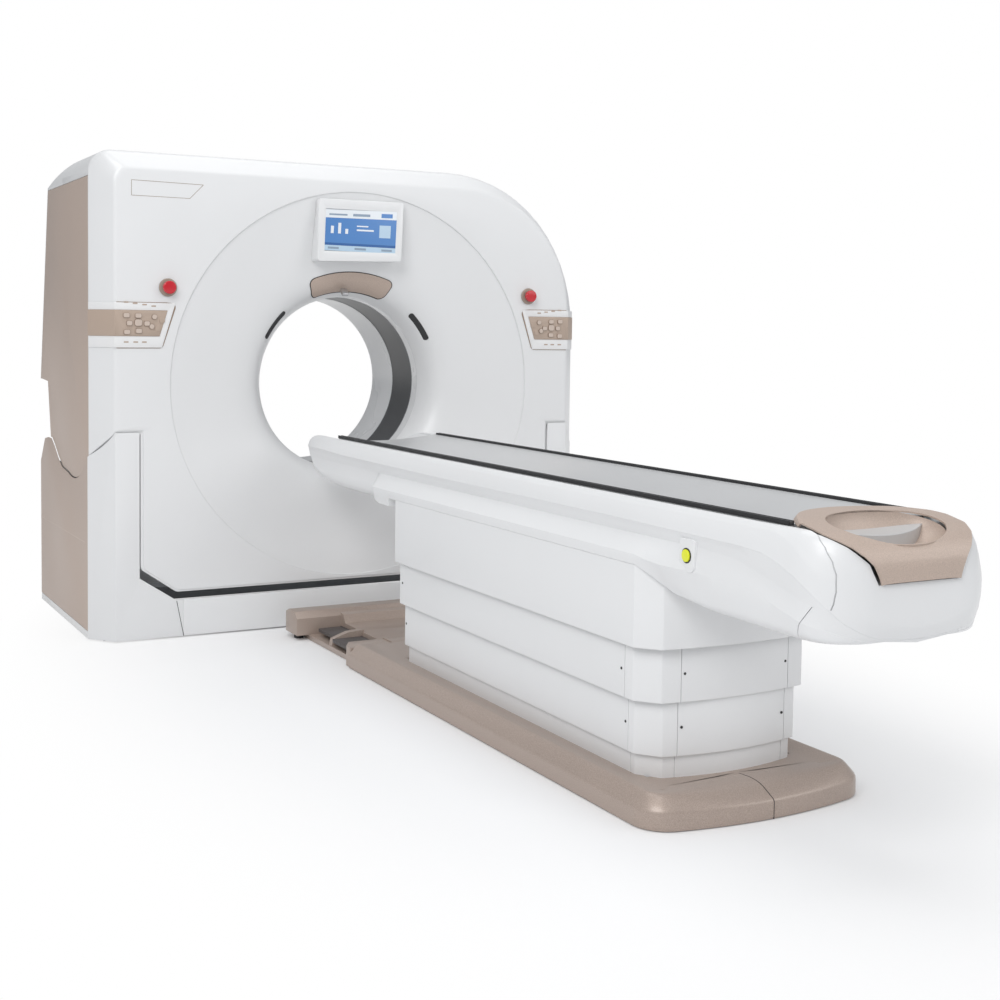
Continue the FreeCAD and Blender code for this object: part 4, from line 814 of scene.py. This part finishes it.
# The picture goes by shares of the screen: left, bottom, right, top, finish, how far it stands proud
displayScreen = {
    "corners": ((-160, 1488), (145, 1483), (152, 1651), (-153, 1648)),
    "front": -371.2, "back": -368,
    "picture": ((0.0, 0.0, 1.0, 1.0, "screenBlue", 0.0), (0.0, 0.80, 1.0, 1.0, "screenWhite", 0.3),
                (0.0, 0.0, 1.0, 0.13, "screenPale", 0.3), (0.0, 0.13, 1.0, 0.19, "screenDeep", 0.3),
                (0.05, 0.86, 0.30, 0.90, "screenMark", 0.6), (0.38, 0.85, 0.62, 0.91, "screenMark", 0.6),
                (0.78, 0.84, 0.94, 0.94, "screenBlue", 0.6), (0.08, 0.42, 0.12, 0.60, "screenWhite", 0.6),
                (0.18, 0.42, 0.22, 0.68, "screenWhite", 0.6), (0.28, 0.42, 0.32, 0.54, "screenWhite", 0.6),
                (0.44, 0.50, 0.68, 0.54, "screenWhite", 0.6), (0.44, 0.60, 0.60, 0.63, "screenWhite", 0.6),
                (0.76, 0.36, 0.92, 0.66, "screenPale", 0.6), (0.05, 0.04, 0.20, 0.09, "screenMark", 0.6),
                (0.42, 0.04, 0.58, 0.09, "screenMark", 0.6), (0.80, 0.04, 0.95, 0.09, "screenMark", 0.6)),
}


def onScreen(u, v):
    a, b, c, d = displayScreen["corners"]
    return pointBetween(pointBetween(a, b, u), pointBetween(d, c, u), v)


def makeScreen():
    for number, (u0, v0, u1, v1, finish, proud) in enumerate(displayScreen["picture"]):
        name = "screenPart" + str(number) if number else "screenPanel"
        outline = [onScreen(u, v) for u, v in rectangle(u0, v0, u1, v1)]
        piece = prism(name, outline, displayScreen["front"] - proud, displayScreen["back"], "y")
        if number == 0:
            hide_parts("display_screen")
        place(piece, "tilting_gantry", finish)


# Places are those of the left panel with x taken positive, and are mirrored for the right one
controlFrame = {
    "rim": ((966, 1270.5), (780, 1270.5), (739, 1266), (794, 1099), (966, 1098.5)),
    "rimRadii": (3, 3, 16, 16, 3), "rimFront": -351.6, "rimBack": -349.8,
    "marks": {"upper": ((930, 1269), (897, 1265), (862, 1261), (828, 1256)), "lower": ((930, 1122),
              (895, 1122), (863, 1122))},
    "markSize": (9, 2.6), "markRadius": 2.4, "markFront": -354.7, "markBack": -353.5,
}


def makeControls():
    wide, high = controlFrame["markSize"]
    for sign, side in bothSides:
        loop = filletLoop([(sign * x, z) for x, z in controlFrame["rim"]], controlFrame["rimRadii"], 5)
        rim = prism("controlRim" + side, loop, controlFrame["rimFront"], controlFrame["rimBack"], "y")
        place(rim, "tilting_gantry", "trimBrown")
        for row, marks in controlFrame["marks"].items():
            for number, (x, z) in enumerate(marks):
                corners = rectangle(sign * (x - wide), z - high, sign * (x + wide), z + high)
                loop = filletLoop(corners, (controlFrame["markRadius"],) * 4)
                piece = prism("controlMark" + side + row.title() + str(number), loop,
                              controlFrame["markFront"], controlFrame["markBack"], "y")
                place(piece, "tilting_gantry", "keypadTan")


# Angles in degrees from straight up: the middle and half the width. Then inner and outer radius,
# corner radius, lift off the dish, finish and slot.
dishPatches = {
    "archPanel": (0, 24, 374, 449, 22, 1.6, "tanMoulding", "tan_panel"),
    "archOutline": (0, 24.45, 371, 452, 24, 0.4, "rubberBlack", "dark_trim"),
    "funnelSlotLeft": (-53.4, 9.65, 386, 404, 8.9, 0.6, "railBlack", "dark_trim"),
    "funnelSlotRight": (53.4, 9.65, 386, 404, 8.9, 0.6, "railBlack", "dark_trim"),
}
patchWall = 3.0
cameraTab = {"size": (30, 34, 16), "spot": (-29, -262, 1327), "turn": (0.75, 0.0, 0.12), "softness": 4.0}


# A thin patch laid on the dish, with rounded corners
def dishPatch(name, middle, halfAngle, inner, outer, corner, lift, finish, slotName):
    curve = smoothCurve(frontCover["dish"])[::-1]
    middleRadius = (inner + outer) / 2
    span = math.radians(halfAngle) * middleRadius
    rounding = [-span + corner * (1 - math.cos(math.pi * k / 16)) for k in range(9)]
    steps = rounding + [between(-span + corner, span - corner, k / 24) for k in range(1, 24)]
    steps += [-s for s in reversed(rounding)]
    rows = []
    for s in steps:
        over = max(abs(s) - (span - corner), 0.0)
        cut = corner - math.sqrt(max(corner * corner - over * over, 0.0))
        angle = math.radians(middle) + s / middleRadius
        radii = [between(inner + cut, outer - cut, k / 8) for k in range(9)]
        rows.append([aroundBore(radius, angle, readTable(curve, radius) - lift) for radius in radii])
    piece = gridPiece(name, rows)
    thicken(piece, patchWall, 0.0)
    editAll(piece, lambda: mergeClose(0.01), pointOutwards)
    return place(piece, "tilting_gantry", finish)


def makeDishPatches():
    patches = {name: dishPatch(name, *look) for name, look in dishPatches.items()}
    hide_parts("arch_panel")
    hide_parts("funnel_slots")
    clearSelection()
    bpy.ops.mesh.primitive_cube_add(size=1, location=[value * mm for value in cameraTab["spot"]])
    tab = bpy.context.object
    tab.name = "cameraTab"
    tab.scale = [value * mm for value in cameraTab["size"]]
    tab.rotation_euler = cameraTab["turn"]
    bpy.ops.object.transform_apply(location=True, rotation=True, scale=True)
    softenEdges(tab, cameraTab["softness"])
    place(tab, "tilting_gantry", "bareSteel")


# Each key's place and size on the left field, the last two round; then each layer's growth, front and finish
controlKeys = {
    "keys": ((930, 1221, 22, 16), (886, 1220, 22, 16), (919, 1192, 20, 16), (886, 1194, 26, 24),
             (854, 1191, 20, 16), (928, 1159, 22, 16), (884, 1163, 22, 16), (826, 1216, 18, 18),
             (836, 1180, 18, 18)),
    "layers": {"Ring": (1.3, -359.2, "trimBrown"), "Cap": (0.0, -360.6, "keyLight")}, "back": -356,
    "softness": 0.62, "roundFrom": 7, "roundSoftness": 0.98,
}


def makeKeys():
    for sign, side in bothSides:
        for number, (x, z, wide, high) in enumerate(controlKeys["keys"]):
            soft = controlKeys["roundSoftness" if number >= controlKeys["roundFrom"] else "softness"]
            for part, (grow, front, finish) in controlKeys["layers"].items():
                w, h = wide / 2 + grow, high / 2 + grow
                corners = rectangle(sign * x - w, z - h, sign * x + w, z + h)
                loop = filletLoop(corners, (min(w, h) * soft,) * 4, 5)
                piece = prism("key" + part + side + str(number), loop, front, controlKeys["back"], "y")
                place(piece, "tilting_gantry", finish)


stopButton = {"x": 774, "height": 1326.5, "headRadius": 24.5, "headDepth": 18, "headY": -375,
              "stemRadius": 11.5, "stemDepth": 11, "stemY": -362.5, "softness": 4.0}


def makeStopButtons():
    look, turn = stopButton, (quarterTurn, 0, 0)
    for sign, side in bothSides:
        x, z = sign * look["x"], look["height"]
        spot = (x, look["headY"], z)
        head = addCylinder("stopButton" + side, look["headRadius"], look["headDepth"], spot, turn, 64)
        softenEdges(head, look["softness"], 4)
        spot = (x, look["stemY"], z)
        stem = addCylinder("stopStem", look["stemRadius"], look["stemDepth"], spot, turn, 48)
        booleanWith(head, stem, "UNION")
        node = "stop_button_" + side.lower()
        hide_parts(node)
        place(head, node, "stopRed")


buttonPad = {"corners": (-2970, 622, -2910, 702), "radii": (20, 20, 8, 8), "inner": 236, "outer": 256.4,
             "ringRadius": 18.2, "ringDepth": 12, "ringSpot": (251.5, -2940, 662)}


def makeButtonPads():
    for sign, side in bothSides:
        loop = filletLoop(rectangle(*buttonPad["corners"]), buttonPad["radii"], 6)
        ends = sorted((sign * buttonPad["inner"], sign * buttonPad["outer"]))
        pad = prism("buttonPad" + side, loop, *ends, "x")
        softenEdges(pad, 2.0)
        place(pad, "table_top", "coverWhite")
        x, y, z = buttonPad["ringSpot"]
        ring = addCylinder("buttonRing" + side, buttonPad["ringRadius"], buttonPad["ringDepth"],
                           (sign * x, y, z), (0, quarterTurn, 0), 48)
        place(ring, "table_top", "rubberBlack")


# Radius, y, thickness and finish of each thin ring in the bore
boreRings = {
    "windowEdgeFront": (350.6, -100, 2.0, "innerGrey"), "windowEdgeRear": (350.6, 100, 2.0, "innerGrey"),
    "windowMiddleLine": (353.6, 0, 1.0, "railBlack"), "linerLipFront": (351.0, -151, 1.4, "coverShadow"),
}


def makeBoreRings():
    for name, (radius, y, thickness, finish) in boreRings.items():
        clearSelection()
        bpy.ops.mesh.primitive_torus_add(major_segments=96, minor_segments=8, major_radius=radius * mm,
                                         minor_radius=thickness * mm, rotation=(quarterTurn, 0, 0),
                                         location=(0, y * mm, isoHeight * mm))
        ring = bpy.context.object
        ring.name = name
        bpy.ops.object.transform_apply(location=True, rotation=True, scale=True)
        place(ring, "tilting_gantry", finish)


# The bare outline in the upper left of the front
plateOutline = {
    "corners": ((-909, 1719), (-638, 1715), (-690, 1661.6), (-909, 1662.6)),
    "width": 1.6, "proud": 0.4, "face": -350, "depth": 0.5,
}


def makePlateOutline():
    corners = plateOutline["corners"]
    for number, (ax, az) in enumerate(corners):
        bx, bz = corners[(number + 1) % 4]
        length = math.hypot(bx - ax, bz - az)
        sx = -(bz - az) / length * plateOutline["width"] / 2
        sz = (bx - ax) / length * plateOutline["width"] / 2
        outline = [(ax + sx, az + sz), (ax - sx, az - sz), (bx - sx, bz - sz), (bx + sx, bz + sz)]
        line = prism("plateLine" + str(number), outline, plateOutline["face"] - plateOutline["proud"],
                     plateOutline["face"] + plateOutline["depth"], "y")
        place(line, "tilting_gantry", "trimBrown")


makeScreen()
makeControls()
makeDishPatches()
makeKeys()
makeStopButtons()
makeButtonPads()
makeBoreRings()
makePlateOutline()
for nodeName, pieceName, width, finish, slotName in (
    ("display_bezel", "displayBezel", 5.0, "coverWhite", "white_cover"),
    ("control_panels", "controlPanels", 2.0, "keypadWhite", "white_cover"),
    ("keypads", "keypadFields", 1.2, "keypadTan", "control_tan"),
    ("stop_button_collars", "stopButtonCollars", 2.0, "stopCollar", "collar_grey"),
    ("side_button_left", "sideButtonLeft", 1.5, "buttonYellow", "button_yellow"),
    ("side_button_right", "sideButtonRight", 1.5, "buttonYellow", "button_yellow"),
    ("cradle", "cradleBoard", 2.0, "cradleGrey", "table_grey"),
):
    roundedCopy(nodeName, pieceName, width, finish)
print("controls done")


# Thin seam lines of the fixed covers, on both sides: outline, inner and outer end
seamLines = {
    "base": (((740.6, 141), (738.4, 141), (711.4, 6), (713.6, 6)), -350.5, -348),
    "panel": (((-209, 364.2), (605, 360.2), (605, 362.2), (-209, 366.2)), 1046, 1050.4),
}
for sign, side in bothSides:
    outline, front, back = seamLines["base"]
    line = prism("baseSeam" + side, [(sign * x, z) for x, z in outline], front, back, "y")
    place(line, "stand", "rubberBlack")
    outline, inner, outer = seamLines["panel"]
    line = prism("panelLine" + side, outline, *sorted((sign * inner, sign * outer)), "x")
    place(line, "stand", "keyLight")
print("seam lines done")


# Rails along the cradle: a dark strip between two black strips of painted shade, which stand for the shaded
# gaps beside the rail. Inner and outer side, top, finish
railStrips = {
    "railOuterEdge": (208.6, 211.6, 780.4, "rubberBlack"), "railStrip": (199.4, 208.6, 779.4, "railGrey"),
    "railInnerEdge": (196.4, 199.4, 780.4, "rubberBlack"),
}
railRun = {"low": 770, "start": -3250, "end": -657}
for sign, side in bothSides:
    for name, (inner, outer, top, finish) in railStrips.items():
        left, right = sorted((sign * inner, sign * outer))
        outline = rectangle(left, railRun["low"], right, top)
        strip = prism(name + side, outline, railRun["start"], railRun["end"], "y")
        softenEdges(strip, 0.5, 2)
        if name == "railStrip" and sign < 0:
            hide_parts("cradle_rails")
        place(strip, "cradle", finish)
print("rails done")


# Tan end cap of the cradle, with its oval bowl
endCap = {
    "half": 210.5, "tail": -3437, "headRadius": 230.0, "headCentre": -3370.0, "headLimit": -3330, "wall": 4.0,
    "edgeRun": 14, "edgeDrop": 0.06, "sideDrop": 2, "rowSteps": 32, "halfSteps": 20,
    "crown": ((-3437, 664), (-3436.5, 676), (-3434, 706), (-3425, 727), (-3410, 744), (-3390, 756),
              (-3351, 770), (-3300, 781), (-3262, 787), (-3200, 790), (-3120, 790)),
    "halfWidth": ((-3437, 114), (-3434, 132), (-3424, 155), (-3410, 172), (-3390, 190), (-3365, 203),
                  (-3351, 209.5)),
    "bowl": {"middle": -3324.0, "half": 153.0, "reach": 99.0, "depth": 64.0, "level": 771.0, "lean": 0.25,
             "sunk": 6, "wall": 2.5},
}


def capRows():
    rows = []
    reach = endCap["headRadius"]
    rowSteps, halfSteps = endCap["rowSteps"], endCap["halfSteps"]
    for step in range(rowSteps + 1):
        t = 1 - math.cos(quarterTurn * step / rowSteps)
        row = []
        for k in range(-halfSteps, halfSteps + 1):
            share = math.sin(quarterTurn * k / halfSteps)
            x = endCap["half"] * share
            headY = endCap["headCentre"] + math.sqrt(max(reach * reach - x * x, 0.0))
            headY = max(headY, endCap["headLimit"])
            y = between(endCap["tail"], headY, t)
            headEdge = max(endCap["edgeRun"] - (headY - y), 0.0)
            z = readTable(endCap["crown"], y) - endCap["sideDrop"] * abs(share) ** 8
            z -= endCap["edgeDrop"] * headEdge ** 2
            row.append((share * readTable(endCap["halfWidth"], y), y, z))
        rows.append(row)
    return rows


def makeEndCap():
    bowl = endCap["bowl"]
    piece = gridPiece("endCap", capRows())
    editAll(piece, mergeClose)
    thicken(piece, endCap["wall"])
    editAll(piece, lambda: mergeClose(0.01), pointOutwards)
    clearSelection()
    bpy.ops.mesh.primitive_uv_sphere_add(segments=72, ring_count=36, radius=1)
    cutter = bpy.context.object
    cutter.scale = (bowl["half"] * mm, bowl["reach"] * mm, bowl["depth"] * mm)
    bpy.ops.object.transform_apply(location=False, rotation=False, scale=True)
    cutter.rotation_euler = (bowl["lean"], 0, 0)
    cutter.location = (0, bowl["middle"] * mm, bowl["level"] * mm)
    bpy.ops.object.transform_apply(location=True, rotation=True, scale=False)
    dish = copyPiece(cutter, "endCapBowl")
    booleanWith(piece, cutter)
    editAll(piece, lambda: mergeClose(0.2), closeHoles, pointOutwards)
    lean = Vector((0, -math.sin(bowl["lean"]), math.cos(bowl["lean"])))
    spot = (0, bowl["middle"] * mm, (bowl["level"] - bowl["sunk"]) * mm)
    editAll(dish, lambda: bpy.ops.mesh.bisect(plane_co=spot, plane_no=lean, clear_outer=True))
    thicken(dish, bowl["wall"], 1.0)
    editAll(dish, pointOutwards)
    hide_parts("end_cap")
    place(piece, "cradle", "tanMoulding", 35)
    place(dish, "cradle", "tanMoulding", 50)


makeEndCap()
print("fittings done")


# A wide pale floor that fades into the white backdrop away from the object; sizes in metres
floorLook = {"size": 60.0, "colour": (0.90, 0.90, 0.905), "clearRadius": 0.55, "fadeLength": 1.25,
             "shift": (0, 0.9, 0), "stretch": (1.15, 0.55, 1)}
clearSelection()
bpy.ops.mesh.primitive_grid_add(x_subdivisions=4, y_subdivisions=4, size=floorLook["size"])
floor = bpy.context.object
floor.name = "studioFloor"
floorPaint = bpy.data.materials.new("floorPaint")
floorPaint.use_nodes = True
tree = floorPaint.node_tree
tree.nodes.clear()
matt = addNode(tree, "BsdfDiffuse", {"Color": (*floorLook["colour"], 1)})
glow = addNode(tree, "Emission", {"Strength": 1.0})
rays = addNode(tree, "LightPath").outputs
spot = addNode(tree, "TexCoord").outputs["Object"]
shift = addNode(tree, "Mapping", {"Location": floorLook["shift"], "Scale": floorLook["stretch"]},
                {"Vector": spot})
distance = addNode(tree, "VectorMath", links={0: shift.outputs["Vector"]}, operation="LENGTH")
fade = addNode(tree, "MapRange", {"From Min": floorLook["clearRadius"],
                                  "From Max": floorLook["clearRadius"] + floorLook["fadeLength"]},
               {"Value": distance.outputs["Value"]}, interpolation_type="SMOOTHSTEP")
seen = addNode(tree, "Math", links={0: rays["Is Camera Ray"], 1: rays["Is Glossy Ray"]}, operation="MAXIMUM")
chosen = addNode(tree, "Math", links={0: seen.outputs[0], 1: fade.outputs["Result"]}, operation="MULTIPLY")
mixed = addNode(tree, "MixShader", links={"Fac": chosen.outputs[0], 1: matt.outputs["BSDF"],
                                          2: glow.outputs["Emission"]})
addNode(tree, "OutputMaterial", links={"Surface": mixed.outputs["Shader"]})
floor.data.materials.append(floorPaint)

worldLook = {"ambient": (0.93, 0.95, 0.98), "strength": 0.45}
world = bpy.data.worlds.new("studioAir")
bpy.context.scene.world = world
world.use_nodes = True
tree = world.node_tree
tree.nodes.clear()
ambient = addNode(tree, "Background", {"Color": (*worldLook["ambient"], 1),
                                       "Strength": worldLook["strength"]})
backdrop = addNode(tree, "Background", {"Color": (1, 1, 1, 1)})
rays = addNode(tree, "LightPath").outputs
seen = addNode(tree, "Math", links={0: rays["Is Camera Ray"], 1: rays["Is Transmission Ray"]},
               operation="MAXIMUM")
mixed = addNode(tree, "MixShader", links={"Fac": seen.outputs[0], 1: ambient.outputs["Background"],
                                          2: backdrop.outputs["Background"]})
addNode(tree, "OutputWorld", links={"Surface": mixed.outputs["Shader"]})

# Soft lamps: place, aim and size in metres, power in watts
lamps = {
    "keyLamp": {"place": (-4.6, -5.6, 5.2), "aim": (0.0, -1.2, 0.8), "size": 3.6, "power": 235.0},
    "fillLamp": {"place": (4.5, -6.5, 4.0), "aim": (0.0, -1.0, 0.8), "size": 4.0, "power": 95.0},
    "topLamp": {"place": (0.0, -1.5, 6.5), "aim": (0.0, -1.4, 0.0), "size": 5.0, "power": 125.0},
}
for name, look in lamps.items():
    clearSelection()
    bpy.ops.object.light_add(type="AREA", location=look["place"])
    lamp = bpy.context.object
    lamp.name = name
    lamp.data.size = look["size"]
    lamp.data.energy = look["power"]
    lamp.rotation_mode = "QUATERNION"
    lamp.rotation_quaternion = (Vector(look["aim"]) - Vector(look["place"])).to_track_quat("-Z", "Y")

cameraView = {"place": (-2.23995, -5.66818, 1.19037), "yaw": -28.481, "pitch": 3.049, "roll": 0.709,
              "lens": 51.6, "shift": -0.0956}
yaw, pitch, roll = (math.radians(cameraView[key]) for key in ("yaw", "pitch", "roll"))
forward = Vector((-math.sin(yaw) * math.cos(pitch), math.cos(yaw) * math.cos(pitch), -math.sin(pitch)))
level = Vector((math.cos(yaw), math.sin(yaw), 0))
upright = level.cross(forward)
across = level * math.cos(roll) + upright * math.sin(roll)
upwards = upright * math.cos(roll) - level * math.sin(roll)
cameraData = bpy.data.cameras.new("studioCamera")
camera = bpy.data.objects.new("studioCamera", cameraData)
bpy.context.scene.collection.objects.link(camera)
turn = Matrix((across, upwards, -forward)).transposed()
camera.matrix_world = Matrix.Translation(cameraView["place"]) @ turn.to_4x4()
cameraData.sensor_width = 36
cameraData.lens = cameraView["lens"]
cameraData.shift_y = cameraView["shift"]
cameraData.clip_end = 200
bpy.context.scene.camera = camera
bpy.context.scene.view_settings.view_transform = "Standard"
print("studio ready")
